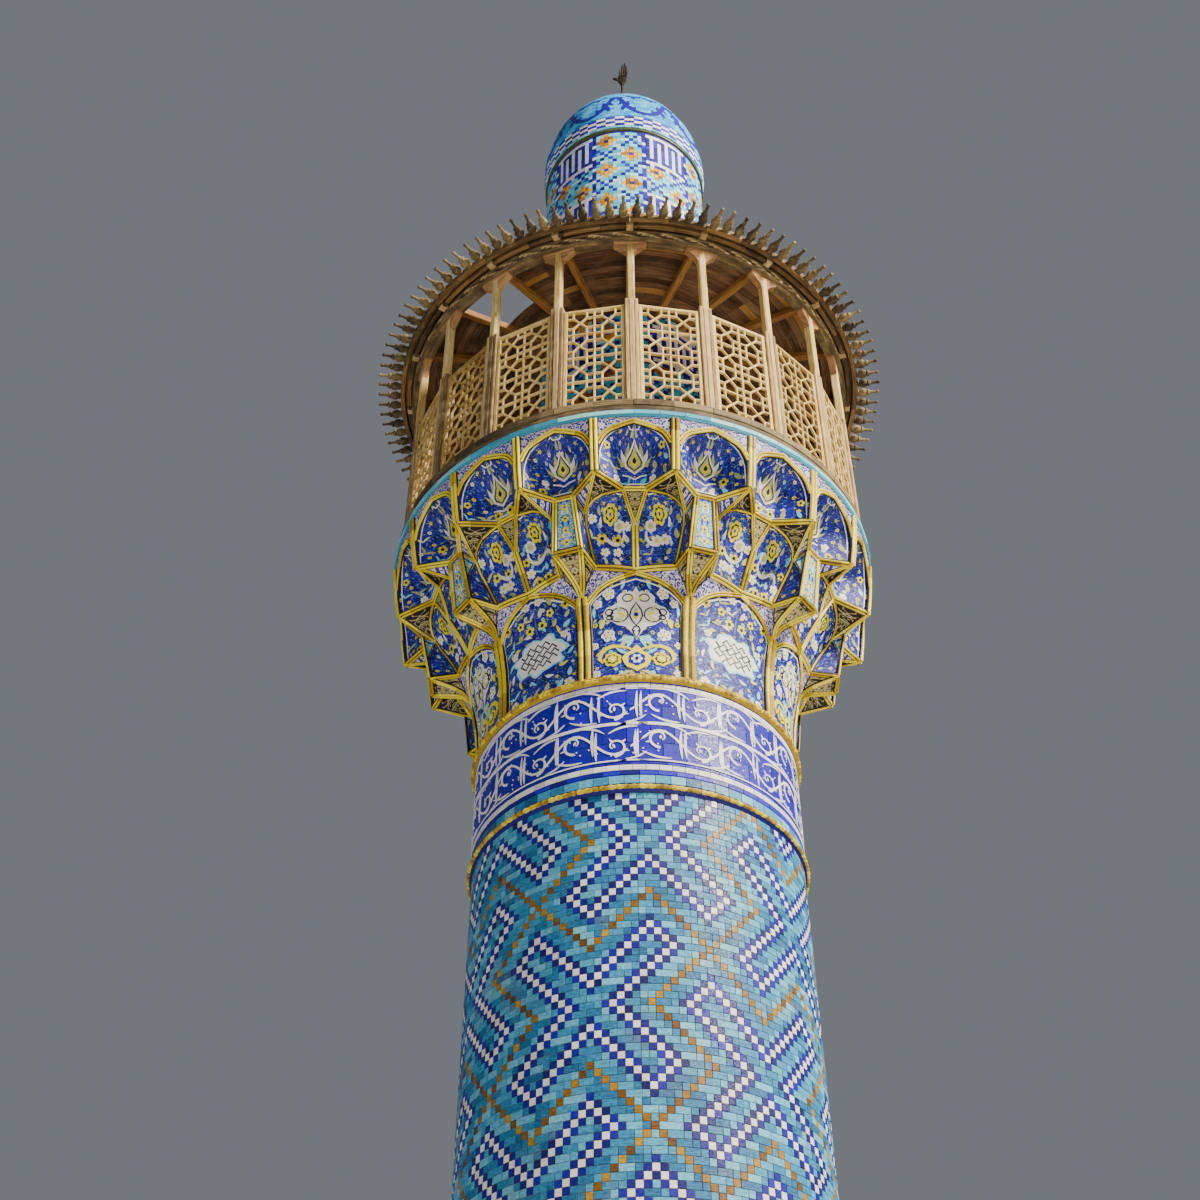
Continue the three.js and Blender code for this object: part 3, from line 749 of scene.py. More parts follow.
class Skin:
    """A surface ruled between neighbouring lines of equal length; u runs from line to line, v along them."""

    def __init__(self, lines):
        self.lines = lines

    def point(self, u, v):
        across = min(max(u, 0.0), 1.0) * (len(self.lines) - 1)
        along = min(max(v, 0.0), 1.0) * (len(self.lines[0]) - 1)
        facet = min(int(across), len(self.lines) - 2)
        span = min(int(along), len(self.lines[0]) - 2)
        left, right = self.lines[facet], self.lines[facet + 1]
        low = left[span].lerp(right[span], across - facet)
        high = left[span + 1].lerp(right[span + 1], across - facet)
        return low.lerp(high, along - span)

    def axes(self, u, v):
        """Right, up and out at a spot."""
        step = 0.012
        side = self.point(u + step, v) - self.point(u - step, v)
        rise = self.point(u, v + step) - self.point(u, v - step)
        normal = side.cross(rise).normalized()
        return side.normalized(), normal.cross(side).normalized(), normal

    def extent(self):
        """Width along the middle of the skin, and length along its middle line."""
        quarters = [(step / 4, (step + 1) / 4) for step in range(4)]
        wide = sum((self.point(near, 0.5) - self.point(far, 0.5)).length for near, far in quarters)
        long = sum((self.point(0.5, near) - self.point(0.5, far)).length for near, far in quarters)
        return wide, long

    def lay(self, u, v):
        """A flat place for a small motif, touching the skin at (u, v)."""
        origin = self.point(u, v)
        side, rise, normal = self.axes(u, v)
        return lambda across, up, lift: origin + side * across + rise * up + normal * lift

    def wrap(self, u, v):
        """A place for a large motif that follows the skin, measured in metres from (u, v)."""
        wide, long = self.extent()

        def place(across, up, lift):
            there = (u + across / wide, v + up / long)
            return self.point(*there) + self.axes(inside(there[0]), inside(there[1]))[2] * lift
        return place

    def ground(self, build, rows, columns, kind):
        """The skin as a grid, with a map in metres that is mirrored about its middle line."""
        width = (len(self.lines) - 1) * columns
        wide, long = self.extent()
        shift = 3.7 * self.point(0.5, 0.5).z
        rings, maps = [], []
        for v in tapered(0, 1, rows):
            across = tapered(0, 1, width)
            rings.append([self.point(u, v) for u in across])
            maps.append([(shift + wide * abs(u - 0.5), shift + long * v) for u in across])
        build.loft(rings, 0.5, kind, maps, flip=True, seam=False)

    def line(self, build, path, width, thick, tone, kind):
        """A closed raised line of even width along (u, v) stations."""
        spots = [self.point(u, v) for u, v in path]
        rings = []
        for number, (u, v) in enumerate(path):
            normal = self.axes(inside(u), inside(v))[2]
            before, after = beside(spots, number, True)
            side = normal.cross(after - before).normalized() * (width / 2)
            rings.append([spots[number] + side * hand + normal * lift
                          for hand, lift in ((1, -0.003), (1, thick), (-1, thick), (-1, -0.003))])
        build.loft(rings, tone, kind, flip=True, loop=True, seam=False)


# Twin gold beads with dark lines, as (across, up) shares of the width and height of a rib
BEAD = [(-0.64, -0.5), (-0.62, 0.12), (-0.5, 0.2), (-0.46, 0.62), (-0.34, 0.95), (-0.18, 0.9), (-0.07, 0.3)]
BEAD += [(-across, up) for across, up in reversed(BEAD)]
DARK_EDGES = (0, 1, 6, 11, 12)


def rib(build, spots, down, width, height, chance, part=0.2):
    """A pair of beads swept along a line and jointed every part metres."""
    rings = []
    for number, spot in enumerate(spots):
        before, after = beside(spots, number, False)
        along = (after - before).normalized()
        outward = Vector((spot.x, spot.y, 0)).normalized() - Vector((0, 0, down))
        side = along.cross(outward).normalized()
        normal = side.cross(along).normalized()
        if normal.dot(outward) < 0:
            normal = -normal
        rings.append([spot + side * (width * across) + normal * (height * up) for across, up in BEAD])
    run = 0.0
    tone = chance.random()
    for number in range(len(spots) - 1):
        run += (spots[number + 1] - spots[number]).length
        points = rings[number] + rings[number + 1]
        for edge, face in enumerate(hull(len(BEAD), 2, flip=True, seam=False)):
            build.add([points[corner] for corner in face], QUAD, tone, GROOVE if edge in DARK_EDGES else GOLD)
        if run > part:
            run = 0.0
            tone = chance.random()


# Neck: mouldings, lines of tile, and a cobalt band with white scrollwork in two tiers
UNITS = 26
TIER_VINE = 0.125
# Courses as (low, high, count, material, offset), then the tiers and lines of the band as heights and widths
NECK_COURSES = ((9.985, 10.068, 72, 2, 0), (10.074, 10.116, 60, 3, 0), (10.122, 10.178, 84, 4, 0.5),
                (10.18, 10.206, 60, 3, 0.5), (11.008, 11.052, 84, 4, 0))
BAND_BASE = 10.21
BAND_COURSE = 0.199
TIERS = ((10.235, 10.595), (10.63, 10.985))
BAND_LINES = ((10.612, 0.03), (10.223, 0.012), (10.995, 0.012))


def rope(build, radius, height, thick, turns, chance, kinds, sides=8):
    """A moulding of two strands twisted together round the tower, in two tones."""
    steps = turns * 6
    rings = []
    for step in range(steps):
        ring = []
        for angle in circle(sides):
            reach = thick * (0.82 + 0.18 * cos(2 * angle - 2 * pi * step / 3))
            ring.append(polar(radius + reach * cos(angle), 360 * step / steps, height + reach * sin(angle)))
        rings.append(ring)
    for step in range(steps):
        tone = 0.2 + 0.6 * chance.random()
        build.loft([rings[step], rings[(step + 1) % steps]], tone, kinds[step // 6 % 2])


def neck_tier(pen, unit, low, high, chance):
    """Scrolls in turn over and under a winding vine, with thin leaves and dots between them."""
    middle = (low + high) / 2
    vine = [(step * unit / 8, middle + TIER_VINE * sin(pi * step / 8)) for step in range(UNITS * 8)]
    pen.stroke(vine, 0.02, 0.0025, 0.6, 1, closed=True)
    for number in range(UNITS):
        hand = 1 if number % 2 else -1
        across = (number + 0.5) * unit
        tone = chance.random()
        pen.scroll(across, middle - hand * 0.045, 0.105, hand, tone, chance)
        for share in (0.5, 0.6):
            stem = across + share * unit + chance.uniform(-0.02, 0.02)
            pen.sickle(stem, middle + chance.uniform(-0.03, 0.03), 0.3, pi / 2, 0.008, 0.024, tone)
        start = across + chance.uniform(-0.1, 0.1)
        pen.sickle(start, middle + hand * 0.13, 0.26, hand * 0.25, hand * 0.025, 0.019, tone)
        pen.sickle(across + 0.5 * unit, middle - hand * 0.14, 0.2, hand * 0.4, -hand * 0.02, 0.016, tone)
        for _ in range(5):
            spot = (across + chance.uniform(-0.5, 0.5) * unit, chance.uniform(low + 0.02, high - 0.02))
            pen.disc(*spot, 0.008, 0.003, tone, 1, 5)


def add_neck():
    chance = random.Random(23)
    lines, field, ropes = Build(), Build(), Build()
    rope(lines, FRIEZE_RADIUS + 0.012, 9.945, 0.024, 72, chance, (0, 1))
    for low, high, count, kind, offset in NECK_COURSES:
        course(lines, FRIEZE_RADIUS, low, high, count, chance, kind, offset)
    lines.piece("neck_lines", "gold gold_deep turquoise cobalt cream", "cobalt_tile")

    for row in range(4):
        low = BAND_BASE + row * BAND_COURSE
        course(field, FRIEZE_RADIUS, low, low + BAND_COURSE, 46, chance, 0, 0.5 * (row % 2), 0.004, 0.3)
    girth = 2 * pi * FRIEZE_RADIUS
    face = FRIEZE_RADIUS + 0.004
    pen = Pen(field, lambda across, up, lift: polar(face + lift, degrees(across / face), up))
    for low, high in TIERS:
        neck_tier(pen, girth / UNITS, low, high, chance)
    for height, width in BAND_LINES:
        pen.stroke([(girth * share / 120, height) for share in range(120)], width, 0.003, 0.6, 1, closed=True)
    field.piece("neck_band", "cobalt cream", "cobalt_tile")

    course(ropes, FRIEZE_RADIUS + 0.002, 11.056, 11.082, 96, chance, 2)
    rope(ropes, CORNICE_REACH - 0.006, 11.094, 0.02, 84, chance, (0, 1))
    rope(ropes, CORNICE_REACH - 0.012, 11.12, 0.016, 96, chance, (1, 0))
    ropes.piece("neck_rope", "gold gold_deep cobalt", "gold_tile")


# Muqarnas: ten like sectors of curved niches between gold ribs, and the numbers of the materials in them
COBALT, WHITE, YELLOW, SKY, INK, GOLD, GROOVE, PALE, LEAF, UMBER, COBALT_PLAIN, SKY_VINE = range(12)
FOOT = 11.13
LINE = 13
PANEL_EDGE = 16.3
SPRING = 11.97
CROWN = 12.215


def wall_reach(height):
    """Radius of the first tier, which leans out as it rises."""
    share = (height - FOOT) / 1.11
    return 1.457 + 0.04 * share + 0.158 * share ** 3


def arch_height(bearing):
    """Height of the pointed arch of a lower panel over a bearing."""
    share = min(abs(bearing) / PANEL_EDGE, 1.0)
    return CROWN - (CROWN - SPRING) * (0.5 * share + 0.5 * share ** 4)


# Stations of the muqarnas as (radius, bearing, height), the right half of a sector
ARCH = [(wall_reach(arch_height(bearing)) + 0.004, bearing, arch_height(bearing))
        for bearing in (PANEL_EDGE, 14.6, 12, 9, 6, 3, 0)]
FOOT_RIB = (1.474, 18, FOOT + 0.005)
RIB_TOP = (1.575, 18, 12.04)
NICHE_FOOT = (1.655, 0, 12.24)
NICHE_CORNER = (1.705, 12.46, 12.27)
BRACKET_CORNER = (1.982, 14.4, 12.26)
HANGING_TIP = (1.87, 0, 12.6)
SHOULDER = (1.96, 13.6, 12.72)
CELL_FOOT = (2.335, 9, 12.86)
INNER_CORNER = (2.028, 3.09, 12.92)
BRACKET_TOP = (2.095, 15.64, 12.83)
CELL_SIDE = (2.379, 8.3, 13.17)
CROWN_MID = (2.392, 0, 13.44)
CROWN_RIB = (2.418, 9, 13.468)
UNDER = [RIB_TOP, (1.68, 16.6, 12.17), BRACKET_CORNER]
NICHE_SIDE = [NICHE_CORNER, (1.79, 13.4, 12.45), SHOULDER]
NICHE_TOP = [SHOULDER, (2.03, 9.6, 12.86), INNER_CORNER]
NICHE_OUTER = NICHE_SIDE + NICHE_TOP[1:]
NICHE_FOLD = [(1.682, 6.4, 12.25), (1.735, 7.3, 12.43), (1.815, 7.6, 12.62), (1.94, 6.0, 12.82), INNER_CORNER]
HANGING = [HANGING_TIP, (1.955, 1.9, 12.79), INNER_CORNER]
NICHE_INNER = [NICHE_FOOT, (1.755, 0.4, 12.42), *HANGING]
BRACKET_EDGE = [BRACKET_CORNER, (2.02, 14.2, 12.5), SHOULDER]
CELL_ARCH = [CELL_SIDE, (2.386, 6.4, 13.31), (2.39, 3.2, 13.385), CROWN_MID]
CELL_EDGE = [CELL_FOOT, (2.36, 8.7, 13.0), *CELL_ARCH]
CROWN_LINE = [CELL_SIDE, CROWN_RIB, (2.418, 4.5, 13.468), (2.418, 0, 13.468)]


def mirrored(points):
    return [(radius, -bearing, height) for radius, bearing, height in points]


def swung(points, turn):
    return [(radius, bearing + turn, height) for radius, bearing, height in points]


def sided(points, hand):
    return points if hand > 0 else mirrored(points)


def beyond(points, turn=36):
    """The same stations on the far side of the rib at 18 degrees, or of another line."""
    return swung(mirrored(points), turn)


def ruled(hand, *stations):
    """Lines from left to right as seen from outside, whichever half of a sector they are in."""
    return [through(sided(points, hand), LINE) for points in stations][::hand]


# Fields of vines on each side, between two lines, and the ribs as stations, lean, width and height
FIELDS = [
    ([RIB_TOP, NICHE_CORNER], UNDER, UMBER),
    (NICHE_TOP, [SHOULDER, CELL_FOOT], UMBER),
    (BRACKET_EDGE, [BRACKET_CORNER, BRACKET_TOP], SKY_VINE),
    ([SHOULDER, CELL_FOOT], [BRACKET_TOP, CELL_FOOT], PALE),
    (NICHE_SIDE, BRACKET_EDGE, COBALT),
    (CROWN_LINE, CELL_ARCH, PALE),
    (beyond(CELL_ARCH, 18), beyond(CROWN_LINE, 18), PALE),
]
RIBS = [
    ([CELL_FOOT, (2.375, 9, 13.1), CROWN_RIB], 0.1, 0.075, 0.024),
    (UNDER, 1.2, 0.05, 0.016),
    ([NICHE_FOOT, (1.684, 6.4, 12.25), NICHE_CORNER], 0.9, 0.055, 0.02),
    ([NICHE_CORNER, BRACKET_CORNER], 1.6, 0.05, 0.018),
    ([BRACKET_CORNER, BRACKET_TOP], 0.3, 0.05, 0.018),
    (NICHE_OUTER, 0.7, 0.045, 0.016),
    ([SHOULDER, BRACKET_TOP], 0.6, 0.03, 0.012),
    ([SHOULDER, CELL_FOOT], 1.0, 0.03, 0.012),
    (HANGING, 0.8, 0.036, 0.014),
    (ARCH, 0.3, 0.045, 0.016),
]

# The mortar core behind the facing, as (radius, height)
CORE = [(1.0, FOOT + 0.002), (1.41, FOOT + 0.002), (1.43, 11.9), (1.55, 12.2), (1.66, 12.45), (1.74, 12.65),
        (1.87, 12.9), (1.98, 13.1), (2.08, 13.4), (2.08, 13.46), (1.0, 13.46)]

# Outlines of the motifs, as right halves from foot to tip
TEARDROP = [(0, -1.0), (0.3, -0.72), (0.56, -0.5), (0.62, -0.12), (0.46, 0.22), (0.3, 0.5), (0.16, 0.85),
            (0, 1.2)]
HEART = [(0, -0.7), (0.28, -0.42), (0.36, -0.08), (0.22, 0.22), (0, 0.66)]
WHITE_PALMETTE = [(0, -0.265), (0.03, -0.205), (0.058, -0.165), (0.1, -0.12), (0.165, -0.1), (0.215, -0.06),
                  (0.285, -0.035), (0.3, 0.03), (0.262, 0.085), (0.205, 0.1), (0.165, 0.125), (0.172, 0.175),
                  (0.135, 0.215), (0.095, 0.205), (0.06, 0.235), (0.03, 0.22), (0, 0.27)]
PALMETTE_HEARTS = ([(0, -0.115), (0.04, -0.06), (0.058, -0.01), (0.045, 0.045), (0.02, 0.085), (0, 0.12)],
                   [(0, -0.245), (0.022, -0.2), (0.035, -0.16), (0.02, -0.13), (0, -0.12)])
YELLOW_LOTUS = [(0, -0.135), (0.04, -0.105), (0.085, -0.085), (0.11, -0.04), (0.125, 0.01), (0.09, 0.055),
                (0.05, 0.075), (0.03, 0.11), (0, 0.14)]
# Lines of the motifs
CHEVRON = [(0, -1.75), (0.45, -1.45), (0.95, -1.3)]
CURL = [(-1.7, -1.7), (-1.75, -2.4), (-1.3, -3.0), (-0.6, -3.1), (0.0, -2.75), (0.6, -2.5), (1.2, -2.7),
        (1.6, -3.3)]
ARM_OF_LOTUS = [(0.03, 0.09), (0.09, 0.125), (0.15, 0.14), (0.22, 0.145), (0.28, 0.125), (0.32, 0.08),
                (0.33, 0.02), (0.3, -0.03)]
ARM_WIDTHS = [0.012, 0.02, 0.026, 0.036, 0.042, 0.042, 0.034, 0.012]
# Leaves as foot, lean from upright, length, width, material and curl
LOTUS_LEAVES = [(0.2, -0.5, 0.5, 1.75, 0.4, LEAF, 0.3), (0.2, -0.5, 0.95, 1.5, 0.4, WHITE, 0.3),
                (0.2, -0.5, 1.45, 1.3, 0.4, LEAF, 0.3), (0.1, 1.5, 0.7, 0.8, 0.35, LEAF, 0.3)]
BLOSSOM_LEAVES = [(0.9, -1.6, 0.6, 0.95, 0.36, WHITE, 0.4), (1.2, -0.6, 1.1, 0.95, 0.36, LEAF, 0.4),
                  (-0.4, -2.2, -2.6, 0.95, 0.36, WHITE, 0.4), (0.5, 1.35, -0.6, 0.95, 0.36, LEAF, 0.4)]
PALMETTE_FAN = [(0.02, -0.235, 2.35, 0.13, 0.04, SKY, -0.3), (0.02, -0.235, 1.95, 0.17, 0.04, LEAF, -0.3),
                (0.02, -0.235, 1.55, 0.15, 0.04, SKY, -0.3)]
PALMETTE_SIDES = {0.7: (0.315, -0.13, 0, 0.11, 0.045, YELLOW, 0.3),
                  0.8: (0.375, 0.0, 0.3, 0.11, 0.03, SKY, 0.3)}
PALMETTE_TIP = [(0.13, 0.25, -0.2, 0.07, 0.026, SKY, 0.3)]
PALMETTE_VEINS = [(0.09, 0.0, 1.5, 0.08, 0.028, YELLOW, 0.3), (0.12, -0.07, 1.2, 0.07, 0.028, LEAF, 0.3),
                  (0.13, 0.04, 1.0, 0.07, 0.028, LEAF, 0.3), (0.02, 0.14, 0.9, 0.06, 0.028, YELLOW, 0.3)]
ARM_LEAVES = [(0.08, 0.06, 1.3, 0.12, 0.035, SKY, 0.3), (0.03, -0.13, 1.75, 0.2, 0.035, LEAF, -0.3),
              (0.05, 0.19, 1.2, 0.1, 0.03, SKY, -0.3)]
# Daisies beside the palmette, and rings inside it
DAISIES = [(0.245, 0.215, 0.05), (0.345, 0.13, 0.038), (0.25, -0.205, 0.058), (0.375, -0.3, 0.034)]
PALMETTE_RINGS = [(0.15, 0.0, 0.078, 0.072), (0.24, 0.035, 0.034, 0.03), (0.235, -0.02, 0.03, 0.02),
                  (0.075, 0.165, 0.045, 0.035)]


def lotus(pen, size, _):
    """A pointed palmette: a khaki drop with two outlines over a fan of leaves, and a chevron under it."""
    for side in (1, -1):
        pen.sprig(side, size, 0.003, 0.4, LOTUS_LEAVES)
    pen.patch((0, 0), both_sides(TEARDROP, 1.18 * size), 0.005, 0.5, LEAF)
    for share, width, kind in ((1.18, 0.12, WHITE), (0.9, 0.1, INK)):
        pen.stroke(both_sides(TEARDROP, share * size), width * size, 0.008, 0.6, kind, closed=True)
    pen.patch((0, 0), both_sides(HEART, 0.8 * size), 0.008, 0.4, YELLOW)
    pen.patch((0, -0.05 * size), both_sides(HEART, 0.45 * size), 0.011, 0.5, INK)
    for side in (1, -1):
        pen.stroke([(side * x * size, y * size) for x, y in CHEVRON], 0.13 * size, 0.004, 0.4, WHITE)


def blossom(pen, size, hand):
    """A many-petalled yellow flower, a small white one beside it and a white leaf that curls under both."""
    layers = ((1.0, 7, 0.005, YELLOW), (0.66, 7, 0.008, INK), (0.5, 6, 0.011, YELLOW))
    for share, lobes, thick, kind in layers:
        pen.cloud(0, 0, share * size, share * size, lobes, 0.12, thick, 0.4, kind)
    pen.disc(0, 0, 0.2 * size, 0.014, 0.5, COBALT_PLAIN)
    for share, lobes, thick, tone, kind in ((0.62, 6, 0.005, 0.3, WHITE), (0.32, 5, 0.008, 0.5, LEAF)):
        pen.cloud(-hand * 1.25 * size, -1.2 * size, share * size, share * size, lobes, 0.1, thick, tone, kind)
    path = curve([Vector((hand * across * size, up * size)) for across, up in CURL], 17)
    widths = [size * (0.12 + 0.34 * sin(pi * share) ** 0.7) for share in tapered(0, 1, 16)]
    pen.stroke([tuple(spot) for spot in path], widths, 0.004, 0.3, WHITE)
    pen.sprig(hand, size, 0.003, 0.4, BLOSSOM_LEAVES)


def net(pen, width, height, tone):
    """Dark zigzag lines that meet in a net of diamonds inside an oval."""
    rows = 5
    for row in range(rows):
        level = height * (row - (rows - 1) / 2) / (rows / 2)
        reach = width * (1 - (level / height) ** 2) ** 0.5
        steps = max(4, round(reach / 0.021))
        swing = 0.9 * height / rows
        path = [(reach * (2 * step / steps - 1), level + (swing if (step + row) % 2 else -swing))
                for step in range(steps + 1)]
        pen.stroke(path, 0.015, 0.008, tone, INK)


def medallion(pen):
    """A ragged white shape with a pale rim and dark interlaced lines."""
    for swell, thick, kind in ((1.12, 0.003, SKY), (1.0, 0.005, WHITE)):
        outline = []
        for angle in circle(44):
            reach = swell * (1 + 0.1 * sin(7 * angle + 0.5) + 0.07 * sin(11 * angle + 2))
            outline.append((0.26 * reach * cos(angle), 0.17 * reach * sin(angle)))
        pen.patch((0, 0), outline, thick, 0.8, kind)
    net(pen, 0.215, 0.128, 0.4)
    for number, angle in enumerate(circle(12, 0.2)):
        kind = (WHITE, YELLOW, SKY)[number % 3]
        pen.leaf(0.31 * cos(angle), 0.24 * sin(angle), angle + 0.7, 0.09, 0.032, 0.004, 0.6, kind, 0.4)


def white_palmette(pen):
    """A broad cream palmette that points down, with dark inner lines, over leaves and among flowers."""
    for side in (1, -1):
        pen.sprig(side, 1, 0.003, 0.7, PALMETTE_FAN)
        for tone, row in PALMETTE_SIDES.items():
            pen.sprig(side, 1, 0.004, tone, [row])
        for across, up, radius in DAISIES:
            pen.daisy(side * across, up, radius, 0.8)
        pen.bloom(side * 0.37, -0.08, 0.024, 0.6, YELLOW, INK)
        pen.bloom(side * 0.145, -0.185, 0.022, 0.6, LEAF, COBALT_PLAIN)
        pen.sprig(side, 1, 0.003, 0.6, PALMETTE_TIP)
    pen.patch((0, -0.02), both_sides(WHITE_PALMETTE), 0.004, 0.5, WHITE)
    for half in PALMETTE_HEARTS:
        pen.stroke(both_sides(half), 0.012, 0.007, 0.5, INK, closed=True)
    for side in (1, -1):
        for across, up, width, height in PALMETTE_RINGS:
            ring = [(side * across + width * cos(angle), up + height * sin(angle)) for angle in circle(16)]
            pen.stroke(ring, 0.01, 0.007, 0.5, INK, closed=True)
        pen.sprig(side, 1, 0.007, 0.7, PALMETTE_VEINS)
        pen.disc(side * 0.13, -0.03, 0.014, 0.007, 0.7, YELLOW)
        pen.disc(side * 0.018, -0.17, 0.008, 0.009, 0.7, COBALT_PLAIN, 6)
    pen.patch((0, 0), both_sides(HEART, 0.075), 0.008, 0.7, YELLOW)
    pen.disc(0, -0.005, 0.02, 0.014, 0.5, COBALT_PLAIN)
    pen.disc(0, 0.045, 0.012, 0.012, 0.5, LEAF, 6)


def yellow_lotus(pen):
    """A yellow lotus with curling arms that end in round flowers."""
    for side in (1, -1):
        pen.stroke([(side * x, y) for x, y in ARM_OF_LOTUS], ARM_WIDTHS, 0.004, 0.5, YELLOW)
    for side in (1, -1):
        pen.sprig(side, 1, 0.003, 0.6, ARM_LEAVES)
        layers = ((1.0, 7, 0.006, YELLOW), (0.66, 7, 0.009, INK), (0.52, 6, 0.012, YELLOW))
        for share, lobes, thick, kind in layers:
            pen.cloud(side * 0.215, 0.0, 0.076 * share, 0.072 * share, lobes, 0.1, thick, 0.5, kind)
        pen.disc(side * 0.215, 0.0, 0.018, 0.015, 0.8, WHITE)
        pen.daisy(side * 0.36, -0.14, 0.036, 0.8)
        pen.bloom(side * 0.14, -0.15, 0.022, 0.7, SKY, YELLOW)
    pen.patch((0, 0), both_sides(YELLOW_LOTUS, 1.05), 0.008, 0.7, YELLOW)
    pen.cloud(0, -0.01, 0.072, 0.068, 6, 0.1, 0.011, 0.5, COBALT_PLAIN)
    pen.rosette(0, -0.01, 0.05, 6, 0.014, 0.9, WHITE, INK)


def strewn(build, skin, spacing, clear, middle, chance):
    """Small flowers and leaves in mirrored pairs over a skin, clear of a palmette at the height middle."""
    _, long = skin.extent()
    rows = max(3, round(long / spacing))
    number = chance.randrange(4)
    for row in range(rows):
        v = (row + 0.5) / rows
        reach = (skin.point(1, v) - skin.point(0, v)).length / 2
        count = max(1, round(reach / spacing))
        for column in range(count):
            share = (column + 0.5 + chance.uniform(-0.2, 0.2)) / count
            number += 1
            lean = chance.uniform(-0.7, 0.7)
            size = 0.4 * spacing * chance.uniform(0.8, 1.15)
            tone = chance.random()
            if hypot(share * reach, (v - middle) * long) < clear or share * reach > reach - 0.055:
                continue
            for side in (1, -1):
                pen = Pen(build, skin.lay(0.5 + side * share / 2, v))
                if number % 5 == 0:
                    pen.bloom(0, 0, 1.1 * size, tone, WHITE, YELLOW)
                elif number % 5 == 2:
                    pen.bloom(0, 0, size, tone, YELLOW, INK)
                else:
                    kind = SKY if number % 5 == 4 else LEAF
                    for turn in (-0.5, 0.5):
                        pen.leaf(0, -0.7 * size, pi / 2 + side * lean + turn, 1.9 * size, 0.55 * size,
                                 0.003, tone, kind, -side * turn)


def inner_line(build, skin, side, low, high, width, kind):
    """A line a little inside the edges of a skin."""
    upright = [(side, v) for v in tapered(low, high, 8)]
    over = [(u, high) for u in tapered(side, 1 - side, 6)[1:-1]]
    outline = upright + over + [(1 - u, v) for u, v in reversed(upright)] + [(1 - u, low) for u, _ in over]
    skin.line(build, outline, width, 0.003, 0.8, kind)


def niche(build, lines, rows, size, chance, motif, height, hand=1):
    """A shell of facets with a white inner line, a large motif and small flowers strewn round it."""
    skin = Skin(lines)
    skin.ground(build, rows, 2, COBALT)
    inner_line(build, skin, 0.05, 0.04, 0.9, 0.011, WHITE)
    strewn(build, skin, 0.118, 1.7 * size, height, chance)
    motif(Pen(build, skin.wrap(0.5, height)), size, hand)


def spandrel(build, lines, ground, rows=6):
    """A small field of vines with a dark inner line."""
    skin = Skin(lines)
    skin.ground(build, rows, 2, ground)
    inner_line(build, skin, 0.09, 0.08, 0.92, 0.012, INK)


def upright_pen(build, middle):
    """A pen for a large motif on the first tier, in metres from a height on its middle line."""
    def place(across, up, lift):
        reach = wall_reach(middle + up)
        return polar(reach + lift, degrees(across / reach), middle + up)
    return Pen(build, place)


def panel_lower(build, chance, with_cloud):
    """The arched panel of the first tier, with a palmette over a lotus or with a white medallion."""
    lines = []
    for share in (-1, -0.87, -0.67, -0.46, -0.23, 0, 0.23, 0.46, 0.67, 0.87, 1):
        bearing = PANEL_EDGE * share
        heights = tapered(FOOT + 0.02, arch_height(bearing), LINE - 1)
        lines.append([polar(wall_reach(height), bearing, height) for height in heights])
    skin = Skin(lines)
    skin.ground(build, 12, 1, COBALT)
    edge = [(0.04, v) for v in tapered(0.015, 0.945, 12)]
    tenths = [share / 10 for share in range(1, 10)]
    outline = edge + [(u, 0.95) for u in tenths] + [(1 - u, v) for u, v in reversed(edge)]
    skin.line(build, outline + [(1 - u, 0.02) for u in tenths], 0.013, 0.003, 0.8, WHITE)
    if with_cloud:
        strewn(build, skin, 0.115, 0.3, 0.39, chance)
        medallion(upright_pen(build, 11.6))
    else:
        white_palmette(upright_pen(build, 11.82))
        yellow_lotus(upright_pen(build, 11.35))


def cell(build, turn, foot, fold_foot, chance):
    """A niche of the third tier, with its ribs."""
    bearing = fold_foot[1]
    fold = [fold_foot, (2.1, bearing * 1.02, 13.09), (2.19, bearing * 0.9, 13.27), CROWN_MID]
    edges = (mirrored(CELL_EDGE), mirrored(fold), fold, CELL_EDGE)
    niche(build, [through(swung(points, turn), LINE) for points in edges], 12, 0.13, chance, lotus, 0.5)
    rib(build, through(swung([*mirrored([foot]), foot], turn), 5), 1.2, 0.05, 0.016, chance)
    for hand in (1, -1):
        rib(build, through(swung(sided(CELL_ARCH, hand), turn), 11), 0.25, 0.05, 0.018, chance)
        rib(build, through(swung(sided([foot, CELL_FOOT], hand), turn), 7), 1.0, 0.05, 0.018, chance)


def bracket_face(build, chance):
    """The face of a bracket over the rib, with a line and a row of flowers, between two ribs."""
    corners = ([BRACKET_CORNER, BRACKET_TOP], beyond([BRACKET_CORNER, BRACKET_TOP]))
    skin = Skin([through(points, LINE) for points in corners])
    skin.ground(build, 4, 2, SKY_VINE)
    outline = [(0.12, v) for v in tapered(0.06, 0.94, 6)] + [(0.88, v) for v in tapered(0.94, 0.06, 6)]
    skin.line(build, outline, 0.012, 0.003, 0.4, COBALT_PLAIN)
    for number in range(4):
        pen = Pen(build, skin.lay(0.5, 0.17 + 0.22 * number))
        pen.rosette(0, 0, 0.036, 4, 0.004, 0.6, YELLOW, COBALT_PLAIN, 0.8 * (number % 2))
        for side in (1, -1):
            kind = (WHITE, COBALT_PLAIN)[number % 2]
            pen.leaf(side * 0.02, 0.05, pi / 2 - side * 0.5, 0.06, 0.022, 0.003, 0.5, kind, side * 0.5)
    for point, down in ((BRACKET_CORNER, 1.4), (BRACKET_TOP, 0.5)):
        rib(build, through([point, *beyond([point])], 5), down, 0.05, 0.018, chance)


